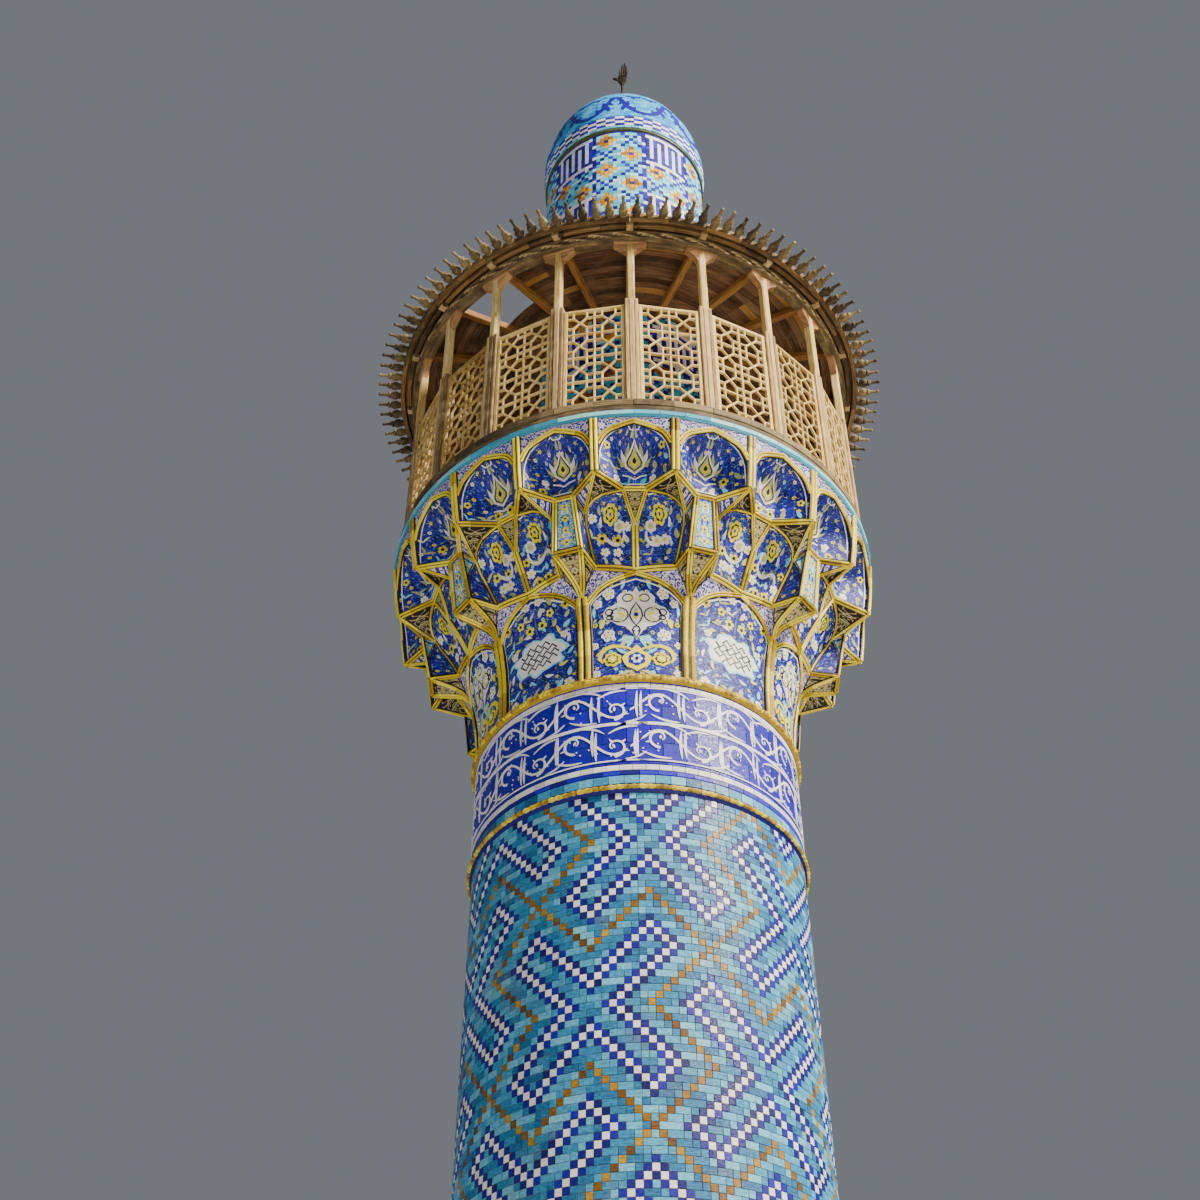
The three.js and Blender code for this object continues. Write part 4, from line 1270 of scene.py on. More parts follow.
def muqarnas_sector(chance, with_cloud):
    build = Build()
    panel_lower(build, chance, with_cloud)
    for side in (1, -1):
        edges = ([RIB_TOP, NICHE_CORNER, NICHE_FOOT], ARCH)
        spandrel(build, [through(sided(points, side), LINE) for points in edges], PALE, 8)
        shell = ruled(side, NICHE_INNER, NICHE_FOLD, NICHE_OUTER)
        niche(build, shell, 10, 0.085, chance, blossom, 0.64, side)
        for first, last, ground in FIELDS:
            spandrel(build, ruled(side, first, last), ground)
    cell(build, 0, INNER_CORNER, (2.05, 3.3, 12.93), chance)
    cell(build, 18, (2.095, 2.36, 12.83), (2.11, 3.2, 12.85), chance)

    rib(build, through([FOOT_RIB, (1.5, 18, 11.6), RIB_TOP], 11), 0.15, 0.112, 0.024, chance)
    for points, down, width, height in RIBS:
        for side in (1, -1):
            rib(build, through(sided(points, side), 11), down, width, height, chance)
    rib(build, through([NICHE_FOOT, (1.755, 0, 12.42), HANGING_TIP], 9), 0.6, 0.06, 0.022, chance)
    for turn in (-PANEL_EDGE, PANEL_EDGE):
        heights = (FOOT + 0.005, 11.4, 11.7, SPRING)
        upright = [(wall_reach(height) + 0.004, turn, height) for height in heights]
        rib(build, through(upright, 8), 0.1, 0.035, 0.014, chance)

    bracket_face(build, chance)
    for pair in ((UNDER, beyond(UNDER)), (mirrored(HANGING), HANGING)):
        spandrel(build, [through(points, LINE) for points in pair], UMBER)
    return build


def add_muqarnas():
    chance = random.Random(31)
    kinds = "cobalt_mosaic cream yellow aqua ink gold groove pale_mosaic leaf umber_mosaic cobalt sky_mosaic"
    patterns = [muqarnas_sector(chance, with_cloud) for with_cloud in (False, True)]
    for number in range(10):
        sector = Build()
        sector.merge(patterns[number % 2], number * 36)
        sector.piece(f"muqarnas_facing_{number + 1}", kinds, "cobalt_tile", f"muqarnas_sector_{number + 1}")
    core = Build()
    lathe(core, CORE, 60)
    core.piece("muqarnas_core", "mortar", "floor_brick")


# Round mouldings and paving
def lathe(build, profile, sides, closed=True):
    """A profile of (radius, height) turned round the tower, listed clockwise with the axis on the left."""
    turns = [360 * side / sides for side in range(sides)]
    rings = [[polar(radius, turn, height) for radius, height in profile] for turn in turns]
    build.loft(rings, loop=True, seam=closed)


PAVING_RINGS = 8
PAVING_INSIDE = DRUM_RADIUS + 0.02
PAVING_OUTSIDE = 2.28
CROWN_TILES = 64
FLAG_LENGTH = 0.27
FLAG_JOINT = 0.003
FLAG_BEVEL = 0.004


def flag(build, near, far, left, right, chance):
    """A paving brick with bevelled edges lying between two radii and two bearings."""
    gap, slope = degrees(FLAG_JOINT / far), degrees(FLAG_BEVEL / far)
    near, far, left, right = near + FLAG_JOINT, far - FLAG_JOINT, left + gap, right - gap
    rise = 0.006 + chance.uniform(-JITTER, JITTER)
    slab(build, lambda radius, bearing, lift: polar(radius, bearing, FLOOR_TOP + lift),
         (near + FLAG_BEVEL, far - FLAG_BEVEL, left + slope, right - slope), (near, far, left, right),
         rise, 0.002, chance.random())


def add_crown():
    """Glazed ring on top of the muqarnas, and the paving of the gallery."""
    chance = random.Random(41)
    tiles = Build()
    course(tiles, TURQUOISE_RADIUS, MUQARNAS_TOP + 0.022, TURQUOISE_TOP - 0.014, CROWN_TILES, chance,
           proud=0.0045)
    tiles.piece("crown_tiles", "ring", "sky_tile")

    paving = Build()
    radii = tapered(PAVING_INSIDE, PAVING_OUTSIDE, PAVING_RINGS)
    for number, (near, far) in enumerate(zip(radii, radii[1:])):
        count = round(2 * pi * far / FLAG_LENGTH)
        for stone in range(count):
            left = 360 * (stone + 0.5 * (number % 2)) / count
            flag(paving, near, far, left, left + 360 / count, chance)
    paving.piece("gallery_paving", "stone", "floor_brick")


# Timber members
def spin(chance):
    """A place to start in the grain."""
    return chance.random() * 9, chance.random() * 9


def beam(build, start, end, side, width, depth, tone, chance, kind=0, bevel=0.004, wane=0.0):
    """A squared timber with bevelled long edges from start to end; side is the direction of its width."""
    along = (end - start).normalized()
    across = (side - along * side.dot(along)).normalized()
    deep = along.cross(across)
    shift = spin(chance)
    length = (end - start).length
    half_w, half_d = width / 2, depth / 2
    outline = [(bevel - half_w, -half_d), (half_w - bevel, -half_d), (half_w, bevel - half_d),
               (half_w, half_d - bevel)]
    outline += [(-x, -y) for x, y in outline]
    girth = [0, width, width, width + depth]
    girth += [width + depth + part for part in girth]
    rings, maps = [], []
    for share in tapered(0, 1, 4 if wane else 1):
        drift = (chance.uniform(-wane, wane), chance.uniform(-wane, wane)) if 0 < share < 1 else (0, 0)
        spot = start + along * (length * share)
        rings.append([spot + across * (x + drift[0]) + deep * (y + drift[1]) for x, y in outline])
        maps.append([(shift[0] + length * share, shift[1] + round_it) for round_it in girth])
    build.loft(rings, tone, kind, maps, flip=True, caps=True)


def board(build, outline, left, right, steps, shift, tone, kind, level=lambda _: 0):
    """A timber of even section bent round the tower; level(radius) is what its heights are measured from."""
    far = max(radius for radius, _ in outline)
    rings, maps = [], []
    for bearing in tapered(left, right, steps):
        rings.append([polar(radius, bearing, level(radius) + lift) for radius, lift in outline])
        run = shift[0] + radians(bearing) * far
        maps.append([(run, shift[1] + radius + lift) for radius, lift in outline])
    build.loft(rings, tone, kind, maps, caps=True)


def curved_board(build, radii, heights, left, right, chance, kind=0, bevel=0.005):
    """A level board bent round the tower."""
    near, far = radii
    low, high = heights
    outline = [(near, low), (far - bevel, low), (far, low + bevel), (far, high - bevel), (far - bevel, high),
               (near, high)]
    board(build, outline, left, right, 3, spin(chance), chance.random(), kind)


def bay_axes(bearing):
    """Right as seen from outside, outward, and up, at a bearing."""
    angle = radians(bearing)
    return Vector((cos(angle), sin(angle), 0)), Vector((sin(angle), -cos(angle), 0)), Vector((0, 0, 1))


# Gallery frames: sills as radii and heights, newels as (across, width, depth, drop), capitals as steps
SILL = ((2.302, 2.412), (13.5605, 13.64))
KERB = ((2.316, 2.418), (13.644, 13.729))
POST_RADIUS = 2.362
NEWEL_BASE = 13.712
NEWEL_TOP = 15.27
POST_BASE = 15.24
CAPITAL_BASE = 16.04
HEAD_BASE = 16.22
HEAD_TOP = 16.34
HEAD_OUTSIDE = 2.45
HEAD_INSIDE = 2.32
NEWEL = ((-0.046, 0.038, 0.08, 0.0), (0.0, 0.05, 0.088, 0.012), (0.047, 0.036, 0.078, 0.004))
CAPITAL_STEPS = [(0.0, 0.042, 0.03), (0.03, 0.056, 0.032), (0.07, 0.088, 0.033), (0.11, 0.13, 0.034),
                 (0.14, 0.166, 0.035), (0.15, 0.16, 0.035), (0.156, 0.169, 0.043), (0.185, 0.169, 0.043)]


def capital(build, bearing, chance):
    """A flared capital: a stepped and hollowed block that widens to the beam."""
    right, outward, up = bay_axes(bearing)
    middle = outward * (POST_RADIUS + 0.002)
    shift = chance.random() * 5
    rings, maps = [], []
    for rise, half, deep in CAPITAL_STEPS:
        corners = [(-half, -deep), (half, -deep), (half, deep), (half * 0.72, deep * 1.04),
                   (-half * 0.72, deep * 1.04), (-half, deep)]
        rings.append([middle + right * x + outward * y + up * (CAPITAL_BASE + rise) for x, y in corners])
        maps.append([(shift + x, rise + y) for x, y in corners])
    build.loft(rings, chance.uniform(0.3, 0.9), 2, maps, flip=True, caps=True)


def gallery_frame(build, middle, chance):
    """Sill, four posts and the carved head beam of one fifth of the gallery."""
    for number in (-1.5, -0.5, 0.5, 1.5):
        bearing = middle + number * BAY
        right, outward, up = bay_axes(bearing)
        left = bearing - BAY / 2 + 0.02
        last = left + BAY - 0.04
        curved_board(build, *SILL, left, last, chance, 3)
        for ends in ((left, bearing - 0.08), (bearing + 0.08, last)):
            curved_board(build, *KERB, *ends, chance, 3)
        post = outward * POST_RADIUS
        for across, width, depth, drop in NEWEL:
            foot = post + right * across
            beam(build, foot + up * NEWEL_BASE, foot + up * (NEWEL_TOP - drop), right, width, depth,
                 chance.random(), chance, bevel=0.006)
        beam(build, post + up * POST_BASE, post + up * (HEAD_BASE + 0.004), right, 0.076, 0.082,
             chance.uniform(0.4, 1), chance, 1, bevel=0.012)
        capital(build, bearing, chance)
    head_beam(build, middle)


def head_beam(build, middle):
    """The ring beam: slanting cuts like a rope between two fillets on its outer face, plain behind; a painted
    highlight on the ridges of the cuts and painted shade in their hollows.
    """
    steps = 120
    tall = HEAD_TOP - HEAD_BASE
    points, grain = [], []
    for step, bearing in enumerate(tapered(middle - 35.97, middle + 35.97, steps)):
        profile = [(HEAD_INSIDE, 0), (HEAD_OUTSIDE - 0.008, 0), (HEAD_OUTSIDE, 0.006), (HEAD_OUTSIDE, 0.014)]
        for row in range(5):
            cut = 0.012 * sin(2 * pi * step / 10 + 1.3 * row)
            profile.append((HEAD_OUTSIDE - 0.014 - cut, 0.02 + 0.021 * row))
        profile += [(HEAD_OUTSIDE, 0.108), (HEAD_OUTSIDE, tall), (HEAD_INSIDE, tall)]
        size = len(profile)
        points += [polar(radius, bearing, HEAD_BASE + height) for radius, height in profile]
        grain += [(0.022 * step, 0.03 * edge) for edge in range(size)]
    for number, face in enumerate(hull(size, steps + 1, caps=True)):
        step, edge = divmod(number, size)
        # crest grows with the depth of the cut: the outermost ridges take pale timber and light tones as a
        # painted highlight, the rest dark timber and darker tones as painted shade
        crest = sin(2 * pi * (step + 0.5) / 10 + 1.3 * (edge - 3.5)) if 3 < edge < 8 else 0
        build.add([points[corner] for corner in face], [range(len(face))], 0.5 - 0.5 * crest,
                  0 if crest < -0.4 else 3, [grain[corner] for corner in face])


# Lattice: eight modules a panel, each with a square at every corner joined to the middle by diagonals
PANEL_HALF = 0.3023
PANEL_BASE = 13.7313
PANEL_TOP = 15.2
RAIL = 0.036
LATH = 0.0205
MODULES_ACROSS = 2
MODULES_UP = 4
SIGNS = (-1, 1)


def lattice_panel(build, bearing, chance):
    right, outward, up = bay_axes(bearing)
    tone = chance.uniform(0.2, 0.9)

    def batten(start, end, width=LATH, deep=0.026, back=0.004):
        """A flat bar between two points, chamfered on its outer face, of a tone near the panel's."""
        shade = min(1, max(0, tone + chance.uniform(-0.2, 0.2)))
        shift = spin(chance)
        run = (end[0] - start[0], end[1] - start[1])
        length = hypot(*run)
        half, chamfer = width / 2, 0.005
        section = [(-half, -deep), (-half, -chamfer), (chamfer - half, 0), (half - chamfer, 0),
                   (half, -chamfer), (half, -deep)]
        rings, maps = [], []
        for number, (across, height) in enumerate((start, end)):
            rings.append([outward * (POST_RADIUS + lift - back) + right * (across - run[1] / length * off)
                          + up * (height + run[0] / length * off) for off, lift in section])
            maps.append([(shift[0] + length * number, shift[1] + off) for off, _ in section])
        build.loft(rings, shade, 0, maps, flip=True, caps=True)

    edge = RAIL / 2
    for height in (PANEL_BASE + edge, PANEL_TOP - edge):
        batten((-PANEL_HALF, height), (PANEL_HALF, height), RAIL, 0.035, 0)
    low, high = PANEL_BASE + RAIL, PANEL_TOP - RAIL
    for across in (edge - PANEL_HALF, PANEL_HALF - edge):
        batten((across, low), (across, high), RAIL, 0.035, 0)
    width = (2 * PANEL_HALF - RAIL) / MODULES_ACROSS
    height = (PANEL_TOP - PANEL_BASE - RAIL) / MODULES_UP
    for column in range(MODULES_ACROSS):
        for row in range(MODULES_UP):
            x = edge - PANEL_HALF + (column + 0.5) * width
            y = PANEL_BASE + edge + (row + 0.5) * height
            for step_x, step_y in [(x_sign * width, y_sign * height) for x_sign in SIGNS for y_sign in SIGNS]:
                corner = (x + 0.235 * step_x, y + 0.21 * step_y)
                batten(corner, (corner[0], y + step_y / 2))
                batten(corner, (x + step_x / 2, corner[1]))
                batten((x, y), corner, deep=0.022)
    for column in range(1, MODULES_ACROSS):
        x = edge - PANEL_HALF + column * width
        batten((x, low), (x, high), 1.1 * LATH)
    for row in range(1, MODULES_UP):
        y = PANEL_BASE + edge + row * height
        batten((RAIL - PANEL_HALF, y), (PANEL_HALF - RAIL, y), 1.1 * LATH)


def add_gallery():
    chance = random.Random(53)
    for number in range(5):
        posts = Build()
        gallery_frame(posts, BAY / 2 + number * 4 * BAY, chance)
        posts.piece(f"gallery_posts_{number + 1}", "grey_wood pale_wood pink_wood beam_wood",
                    "weathered_timber", f"gallery_frame_{number + 1}")
    for number in range(BAYS):
        panel = Build()
        lattice_panel(panel, (number + 0.5) * BAY, chance)
        panel.piece(f"lattice_{number + 1}", "pale_wood", "lattice_timber", f"lattice_panel_{number + 1}")


# Eave ring: its boards as radii and heights, and the shape of its turned spikes as (along, radius)
EAVE_OUTSIDE = 2.592
EAVE_INSIDE = 2.505
EAVE_BASE = 16.345
EAVE_TOP = 16.44
FASCIA = ((EAVE_OUTSIDE - 0.05, EAVE_OUTSIDE), (EAVE_BASE + 0.012, EAVE_TOP - 0.001))
INNER_RING = ((EAVE_INSIDE - 0.035, EAVE_INSIDE + 0.005), (EAVE_BASE + 0.004, EAVE_TOP - 0.024))
SOFFIT = ((HEAD_OUTSIDE + 0.011, EAVE_OUTSIDE - 0.052), (EAVE_TOP - 0.02, EAVE_TOP - 0.002))
FILLET = ((HEAD_OUTSIDE - 0.032, HEAD_OUTSIDE - 0.006), (HEAD_TOP - 0.004, EAVE_TOP - 0.004))
BLOCK_ENDS = (HEAD_OUTSIDE - 0.012, EAVE_INSIDE + 0.012)
SPIKES = 120
SPIKE_SIDES = 9
SPIKE_SHAPE = [(-0.02, 0.03), (0.004, 0.03), (0.012, 0.042), (0.022, 0.034), (0.04, 0.046), (0.065, 0.053),
               (0.09, 0.049), (0.108, 0.036), (0.116, 0.031), (0.124, 0.04), (0.136, 0.037), (0.15, 0.024),
               (0.165, 0.018), (0.2, 0.016), (0.222, 0.0145), (0.232, 0.02), (0.246, 0.02), (0.256, 0.011),
               (0.258, 0.0005)]


def spike(build, bearing, chance):
    right, outward, up = bay_axes(bearing)
    lean = Matrix.Rotation(radians(chance.uniform(-2.2, 2.2)), 3, up)
    direction, side = lean @ outward, lean @ right
    foot = outward * EAVE_OUTSIDE + up * (EAVE_BASE + EAVE_TOP) / 2
    trim = 1 - 0.04 * chance.random()
    points, grain = [], []
    for along, radius in SPIKE_SHAPE:
        middle = foot + direction * (along * trim)
        for angle in circle(SPIKE_SIDES):
            points.append(middle + side * (radius * cos(angle)) + up * (radius * sin(angle)))
            grain.append((along + bearing, radius * angle))
    tip = range(len(points) - SPIKE_SIDES, len(points))
    build.add(points, [*hull(SPIKE_SIDES, len(SPIKE_SHAPE)), tip], chance.random(), 2, grain)


def add_eave():
    chance = random.Random(61)
    build = Build()
    for bay in range(BAYS):
        start = bay * BAY
        for left in (start + 0.06, start + BAY / 2 + 0.06):
            right = left + BAY / 2 - 0.12
            curved_board(build, *FASCIA, left, right, chance)
            curved_board(build, *INNER_RING, left + 2, right + 2, chance)
        for part in (SOFFIT, FILLET):
            curved_board(build, *part, start + 0.05, start + BAY - 0.05, chance)
        sideways, outward, up = bay_axes(start)
        near, far = (outward * radius + up * (EAVE_BASE + 0.03) for radius in BLOCK_ENDS)
        beam(build, near, far, sideways, 0.075, 0.056, chance.uniform(0.5, 1), chance, 1, bevel=0.008)
    for number in range(SPIKES):
        spike(build, (number + 0.5) * 360 / SPIKES, chance)
    build.piece("eave_timber", "brown_wood grey_wood spike_wood", "dark_timber", "eave_ring")


# Roof: boards on rafters, some of them missing in one bay. A rafter is given by places of (radius, drop)
ROOF_SLOPE = 0.25
ROOF_ROWS = 18
ROOF_INSIDE = 1.004
ROOF_EDGE = 2.572
RAFTER = ((ROOF_INSIDE, 0.047), (2.345, 0.047), (2.445, 0.032))
BOARD = 0.03
BOARD_GAP = 0.0015
OPEN_BAY = 315
OPEN_NEAR = 1.64
OPEN_FAR = 2.405


def boards_at(radius):
    return EAVE_TOP + 0.0003 + (ROOF_EDGE - radius) * ROOF_SLOPE


def roof_board(build, near, far, left, right, chance, tone):
    """A sloping board from one rafter to the next, of uneven thickness."""
    shift = spin(chance)
    drop = chance.uniform(0, 0.01)
    cut = 0.006
    outline = [(near, drop + cut), (near + cut, drop), (far - cut, drop), (far, drop + cut),
               (far, BOARD - 0.004), (near, BOARD - 0.002)]
    board(build, outline, left, right, 6, shift, tone, 1 if tone > 0.93 else 0, boards_at)


def rafter(build, bearing, chance):
    right, outward, up = bay_axes(bearing)
    inner, outer, tail = (outward * radius + up * (boards_at(radius) - drop)
                          for radius, drop in RAFTER)
    beam(build, inner, outer, right, 0.07, 0.088, chance.uniform(0.3, 1), chance, 1, bevel=0.008, wane=0.003)
    beam(build, outer + up * 0.008, tail, right, 0.064, 0.056, chance.uniform(0.3, 1), chance, 1)


def add_roof():
    chance = random.Random(71)
    depth = (ROOF_EDGE - ROOF_INSIDE) / ROOF_ROWS
    for sector in range(5):
        build = Build()
        middle = BAY / 2 + sector * 4 * BAY
        for number in (-2, -1, 0, 1, 2):
            left = middle + max(number - 0.5, -2) * BAY + 0.08
            right = middle + min(number + 0.5, 2) * BAY - 0.08
            open_here = abs((left + right) / 2 - OPEN_BAY) < BAY / 3
            for row in range(ROOF_ROWS):
                near = ROOF_INSIDE + row * depth
                far = near + depth - BOARD_GAP
                tone = chance.random()
                if open_here and near >= OPEN_NEAR + 0.01 and far <= OPEN_FAR:
                    continue
                if open_here and near < OPEN_NEAR < far:
                    far = OPEN_NEAR
                roof_board(build, near, far, left, right, chance, tone)
        for number in (-1.5, -0.5, 0.5, 1.5):
            rafter(build, middle + number * BAY, chance)
        build.piece(f"roof_boards_{sector + 1}", "dark_wood rafter_wood", "dark_timber",
                    f"roof_sector_{sector + 1}")


# Drum: turquoise fields with ochre flowers and cobalt dots, white ones with a meander, and dashed borders
DRUM_COLUMNS = 120
DRUM_ROWS = 108
FIELD = 12
FIELD_ROWS = 10
FLOWER_FIELD = """
..o...#...#
.ooo...#.#.
oo#oo...#..
.ooo...#.#.
..o...#...#
#...#...o..
.#.#...ooo.
..#...oo#oo
.#.#...ooo.
#...#...o..
""".split()
MEANDER_FIELD = ["..........."] + ["#.###.###.#"] + 6 * ["#.#.#.#.#.#"] + ["###.###.###"] + ["..........."]


def drum_kind(column, depth):
    """0 white, 1 turquoise, 2 cobalt or 3 ochre, for a brick in a column and a row counted from the top."""
    across = column % FIELD
    if across == 0:
        return 0 if depth % 4 == 3 else 2
    second = column // FIELD % 2
    if second and depth // FIELD_ROWS % 2 == 0:
        return 2 if MEANDER_FIELD[depth % FIELD_ROWS][across - 1] == "#" else 0
    if second and depth % FIELD_ROWS == 0:
        return 0 if across % 4 == 2 else 2
    return ".#o".index(FLOWER_FIELD[depth % FIELD_ROWS][across - 1]) + 1


def add_drum():
    chance = random.Random(83)
    build = Build()
    start = FLOOR_TOP + 0.01
    height = (DRUM_TOP - start - 0.03) / DRUM_ROWS
    width = 360 / DRUM_COLUMNS
    for row in range(DRUM_ROWS):
        low = start + row * height
        depth = DRUM_ROWS - 1 - row
        column = 0
        while column < DRUM_COLUMNS:
            kind = drum_kind(column, depth)
            paired = kind < 2 and column % 2 == row % 2 and column + 1 < DRUM_COLUMNS
            span = 2 if paired and drum_kind(column + 1, depth) == kind else 1
            left = column * width - 24
            right = left + span * width
            if not beside_door(DRUM_DOOR, DRUM_RADIUS, left, right, low):
                # Bricks below the top of the head beam, inside the gallery, take darker tones: painted shade
                # of the roof over them
                tone = (1 if low > HEAD_TOP else 0.3) * chance.random()
                proud = PROUD + chance.uniform(-JITTER, JITTER)
                brick(build, drum_at, left, right, low, low + height, tone, kind, proud=proud)
            column += span
    course(build, DRUM_RADIUS, DRUM_TOP - 0.03, DRUM_TOP, 120, chance, 2)
    build.piece("drum_bricks", "white aqua cobalt ochre", "drum_brick")
    add_collar(chance)


# Collar: an olive ring, a turquoise course and a band of cobalt and white dashes
COLLAR_RING = [(1.0, 20.5605), (1.01, 20.5605), (1.026, 20.567), (1.031, 20.583), (1.026, 20.6),
               (1.01, 20.606), (1.0, 20.606)]
DASHES = 108
DASH_ROWS = 4
DASH_BASE = 20.657
DASH_HEIGHT = 0.045


def collar_reach(height):
    return 1.028 + 0.02 * min(max((height - 20.62) / 0.22, 0), 1)


def add_collar(chance):
    collar = Build()
    lathe(collar, COLLAR_RING, 96)
    course(collar, 1.029, 20.612, 20.655, 72, chance, 1)
    width = 360 / DASHES
    for row in range(DASH_ROWS):
        low = DASH_BASE + row * DASH_HEIGHT
        for column in range(DASHES):
            left = column * width
            kind = 2 + (column // 2 + row) % 2
            brick(collar, collar_reach, left, left + width, low, low + DASH_HEIGHT, chance.random(), kind,
                  proud=0.004)
    collar.piece("collar_tiles", "olive aqua white cobalt", "drum_brick")


# Dome: turquoise courses under a cobalt lobed line with leaves, in degrees of bearing and of rise
DOME_BASE = 20.8403
DOME_RISE = 1.47
DOME_POINT = 0.09
DOME_ROWS = 40
DOME_TILE = 0.085
DOME_JOINT = 0.0015
LOBES = 9
LOBE_LINE = [(0, 23.5), (2.6, 20.5), (5.6, 15), (7.6, 10.5), (11, 7), (15, 4.6), (20, 3.8)]
LOBE_TOP = [(7.5, 25.5), (12, 24.4), (16, 24.6), (20, 26)]
KNOTS = [(7.6, 11, -0.9, 10, 0.42), (7.2, 11.5, -2.2, 6.5, 0.5), (7.0, 9, 1.1, 8, 0.46),
         (5.2, 15, -2.6, 4.5, 0.5), (0.5, 23, -0.35, 5, 0.5), (12.5, 6, 1.0, 4.5, 0.4),
         (12, 24.4, -1.2, 4.5, 0.4), (18, 4, -0.6, 4, 0.4)]


def dome_spot(bearing, angle, lift):
    """A place on the dome at an angle up from its springing."""
    point = DOME_POINT * max(0.0, angle / (pi / 2) - 0.7) / 0.3
    flat = Vector((cos(angle) * DOME_RISE, sin(angle) * DOME_RADIUS)).normalized()
    radius = DOME_RADIUS * cos(angle) + flat.x * lift
    return polar(max(radius, 0), bearing, DOME_BASE + DOME_RISE * sin(angle) + point + flat.y * lift)


def add_dome():
    chance = random.Random(97)
    tiles, lines = Build(), Build()
    angles = [radians(angle) for angle in tapered(0.6, 84.6, DOME_ROWS)]
    for row, (low, high) in enumerate(zip(angles, angles[1:])):
        girth = DOME_RADIUS * cos(low)
        count = max(12, round(2 * pi * girth / DOME_TILE))
        gap, rise = degrees(DOME_JOINT / max(girth, 0.1)), DOME_JOINT / DOME_RISE
        for number in range(count):
            left = 360 * (number + 0.5 * (row % 2)) / count
            face = (left + gap, left + 360 / count - gap, low + rise, high - rise)
            slab(tiles, dome_spot, face, face, 0.004, 0.006, chance.random())
    tiles.piece("dome_tiles", "dome", "sky_tile")

    pen = Pen(lines, lambda across, up, lift: dome_spot(across, radians(up), 0.004 + lift))
    for lobe in range(LOBES):
        centre = 360 * lobe / LOBES - 6
        for hand in (1, -1):
            for stations, wide, narrow in ((LOBE_LINE, 3.8, 2.2), (LOBE_TOP, 1.5, 2.4)):
                line = curve([Vector(place) for place in stations], 17)
                path = [(centre + hand * spot.x, spot.y) for spot in line]
                pen.stroke(path, tapered(wide, narrow, 16), 0.003, 0.3, 0)
            for across, up, turn, length, broad in KNOTS:
                angle = turn if hand > 0 else pi - turn
                pen.leaf(centre + hand * across, up, angle, length, broad * length, 0.003, 0.3, 0, hand * 0.2)
    lines.piece("dome_ornament", "cobalt", "sky_tile")


# Finial: a rod with a ball and an open hand cut from sheet metal, in heights from the rod's foot and the palm
FINIAL_BASE = DOME_TOP - 0.02
PALM = 23.4
ROD = [(0.0005, 0), (0.044, 0), (0.05, 0.03), (0.05, 0.06), (0.03, 0.08), (0.02, 0.11), (0.0185, 0.3),
       (0.03, 0.32), (0.052, 0.345), (0.059, 0.375), (0.052, 0.405), (0.03, 0.43), (0.0185, 0.45)]
ROD_TOP = [(0.016, -0.03), (0.026, -0.02), (0.026, -0.004), (0.015, 0.005), (0.0145, 0.04), (0.0005, 0.04)]
HAND = [
    [(-0.035, 0.02), (0.03, 0.02), (0.06, 0.1), (0.07, 0.19), (0.04, 0.235), (-0.02, 0.225), (-0.058, 0.18),
     (-0.06, 0.08)],
    [(0.046, 0.2), (0.072, 0.18), (0.079, 0.34), (0.074, 0.46), (0.058, 0.5), (0.05, 0.44), (0.044, 0.32)],
    [(0.014, 0.22), (0.041, 0.22), (0.043, 0.38), (0.053, 0.5), (0.05, 0.576), (0.036, 0.56), (0.024, 0.46),
     (0.016, 0.34)],
    [(-0.018, 0.21), (0.01, 0.215), (0.012, 0.35), (0.018, 0.47), (0.01, 0.53), (-0.002, 0.5),
     (-0.012, 0.38)],
    [(-0.05, 0.17), (-0.022, 0.205), (-0.017, 0.33), (-0.022, 0.4), (-0.034, 0.39), (-0.042, 0.3)],
    [(-0.055, 0.075), (-0.05, 0.13), (-0.085, 0.155), (-0.122, 0.162), (-0.13, 0.14), (-0.112, 0.115),
     (-0.08, 0.1)],
]


def add_finial():
    build = Build()
    profile = [(radius, FINIAL_BASE + height) for radius, height in ROD]
    lathe(build, profile + [(radius, PALM + height) for radius, height in ROD_TOP], 20, closed=False)
    for number, outline in enumerate(HAND):
        thick = 0.0085 if number else 0.011
        middle = [sum(values) / len(outline) for values in zip(*outline)]
        crest = [(middle[0] + (x - middle[0]) * 0.62, middle[1] + (z - middle[1]) * 0.8) for x, z in outline]
        rings = [[Vector((x, depth, PALM + z)) for x, z in shape]
                 for shape, depth in ((crest, -thick - 0.003), (outline, -thick), (outline, thick))]
        build.loft(rings, 0.3 + 0.08 * number, caps=True)
    build.piece("finial_hand", "bronze", "bronze", "finial")


# Foot: stone facing of the plinth, and plain surrounds round the two doorways
PLINTH_STONES = 26
CLEAR_OF_DOOR = 0.28
PLINTH_COURSES = ((0.004, 0.236), (0.236, 0.474))


def add_foot():
    chance = random.Random(101)
    build = Build()
    part = 120 / PLINTH_STONES
    for row, (low, high) in enumerate(PLINTH_COURSES):
        for number in range(PLINTH_STONES):
            left = 360 * (number + 0.5 * row) / PLINTH_STONES
            middle = polar(PLINTH_RADIUS, left + 1.5 * part, low)
            if middle.y >= 0 and abs(middle.x) <= FOOT_DOOR[0] + CLEAR_OF_DOOR:
                continue
            for inner in (left, left + part, left + 2 * part):
                brick(build, wall_at, inner, inner + part, low, high, 0.3 + 0.4 * chance.random(),
                      joint=0.006, proud=0.006, bevel=0.004)
    build.piece("plinth_stones", "stone", "shaft_brick")


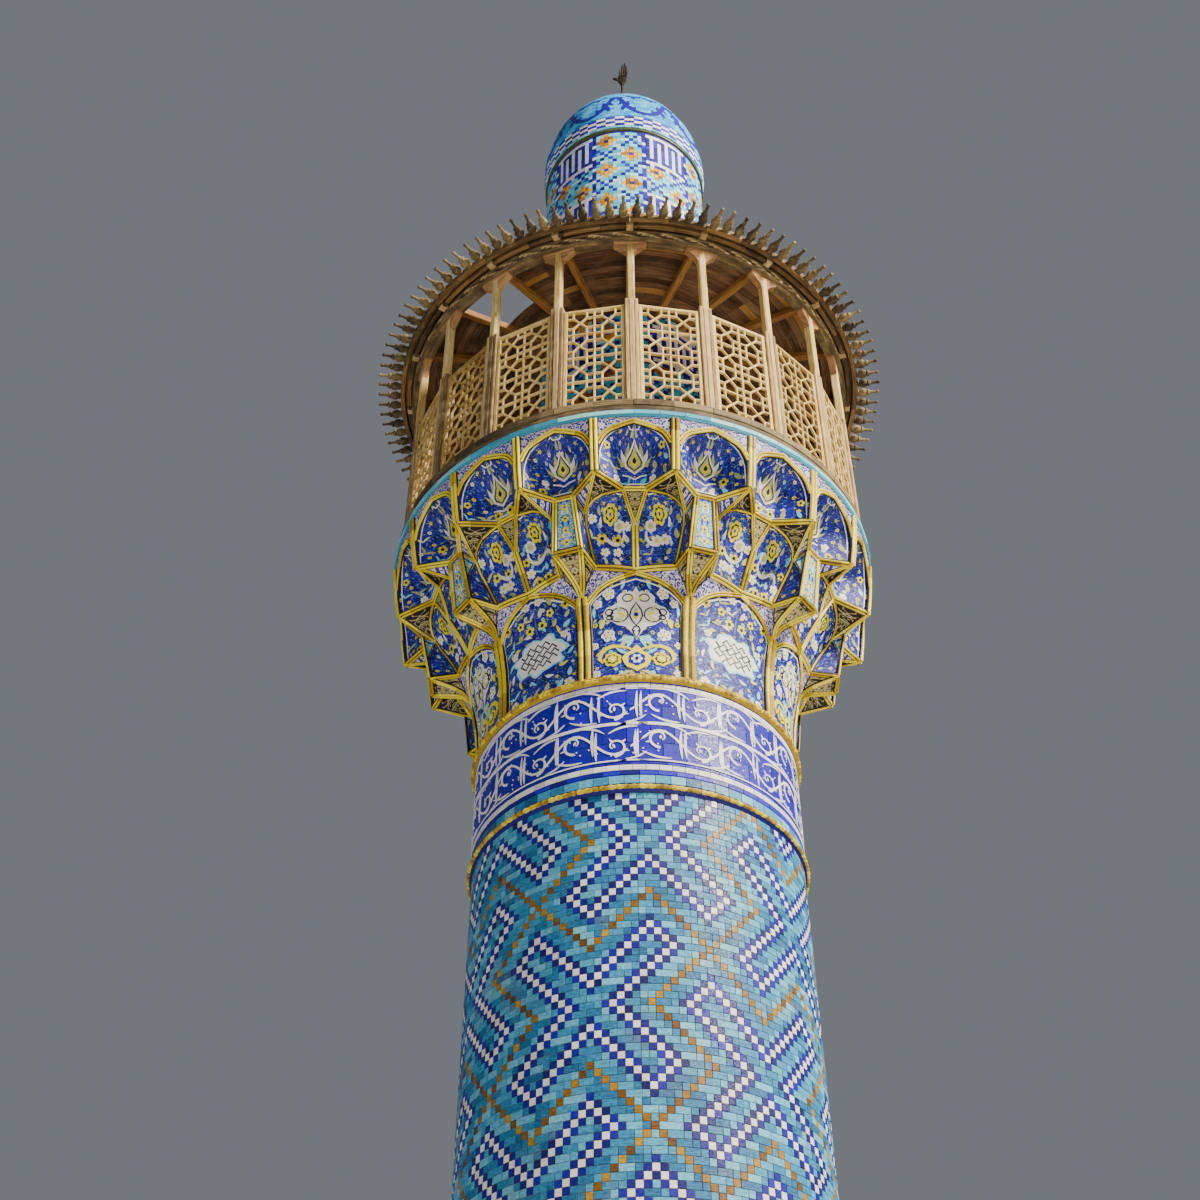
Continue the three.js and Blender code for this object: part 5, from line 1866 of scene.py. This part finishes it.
def door_surround(build, radius, door, base):
    """A plain moulded band round a pointed doorway on the +Y side, following the wall."""
    half, spring, crown, border = door
    path = [(half, z) for z in tapered(base, spring, 6)[:-1]]
    shoulder = spring + 0.65 * (crown - spring)
    for t in tapered(0, 1, 8):
        x = (1 - t) ** 2 * half + 2 * (1 - t) * t * half
        path.append((x, (1 - t) ** 2 * spring + 2 * (1 - t) * t * shoulder + t * t * crown))
    path += [(-x, z) for x, z in reversed(path[:-1])]
    moulding = [(0.002, -0.03), (0.002, 0.012), (0.012, 0.018), (0.3 * border, 0.018), (0.36 * border, 0.011),
                (0.8 * border, 0.011), (0.86 * border, 0.018), (border, 0.012), (border, -0.03)]
    rings = []
    for number, (x, z) in enumerate(path):
        before, after = beside(path, number, False)
        run = (after[0] - before[0], after[1] - before[1])
        ring = []
        for out, lift in moulding:
            reach = out / hypot(*run)
            across, height = x + run[1] * reach, z - run[0] * reach
            ring.append(Vector((across, sqrt(max(radius(height) ** 2 - across * across, 0)) + lift, height)))
        rings.append(ring)
    build.loft(rings, flip=True, seam=False)


def add_doors():
    build = Build()
    door_surround(build, wall_at, FOOT_DOOR, PLINTH_TOP + 0.001)
    door_surround(build, drum_at, DRUM_DOOR, FLOOR_TOP + 0.008)
    build.piece("door_surrounds", "gold", "shaft_brick")


# Detailed materials on the solids that stay in view behind the facing
SOLIDS = {
    "mortar": ("shaft_wall_front", "shaft_wall_right", "shaft_wall_left", "door_jamb_right", "door_jamb_left",
               "wall_over_door", "gallery_floor", "drum", "drum_collar"),
    "cobalt": ("frieze_ring",),
    "gold": ("neck_cornice",),
    "ring": ("turquoise_ring",),
    "dome": ("dome",),
}

add_camera()
add_stage()
for look, nodes in SOLIDS.items():
    for node in nodes:
        mesh = bpy.data.objects[node].data
        mesh.materials.clear()
        mesh.materials.append(looks[look])
add_shaft()
add_neck()
add_muqarnas()
add_crown()
add_gallery()
add_eave()
add_roof()
add_drum()
add_dome()
add_finial()
add_foot()
add_doors()
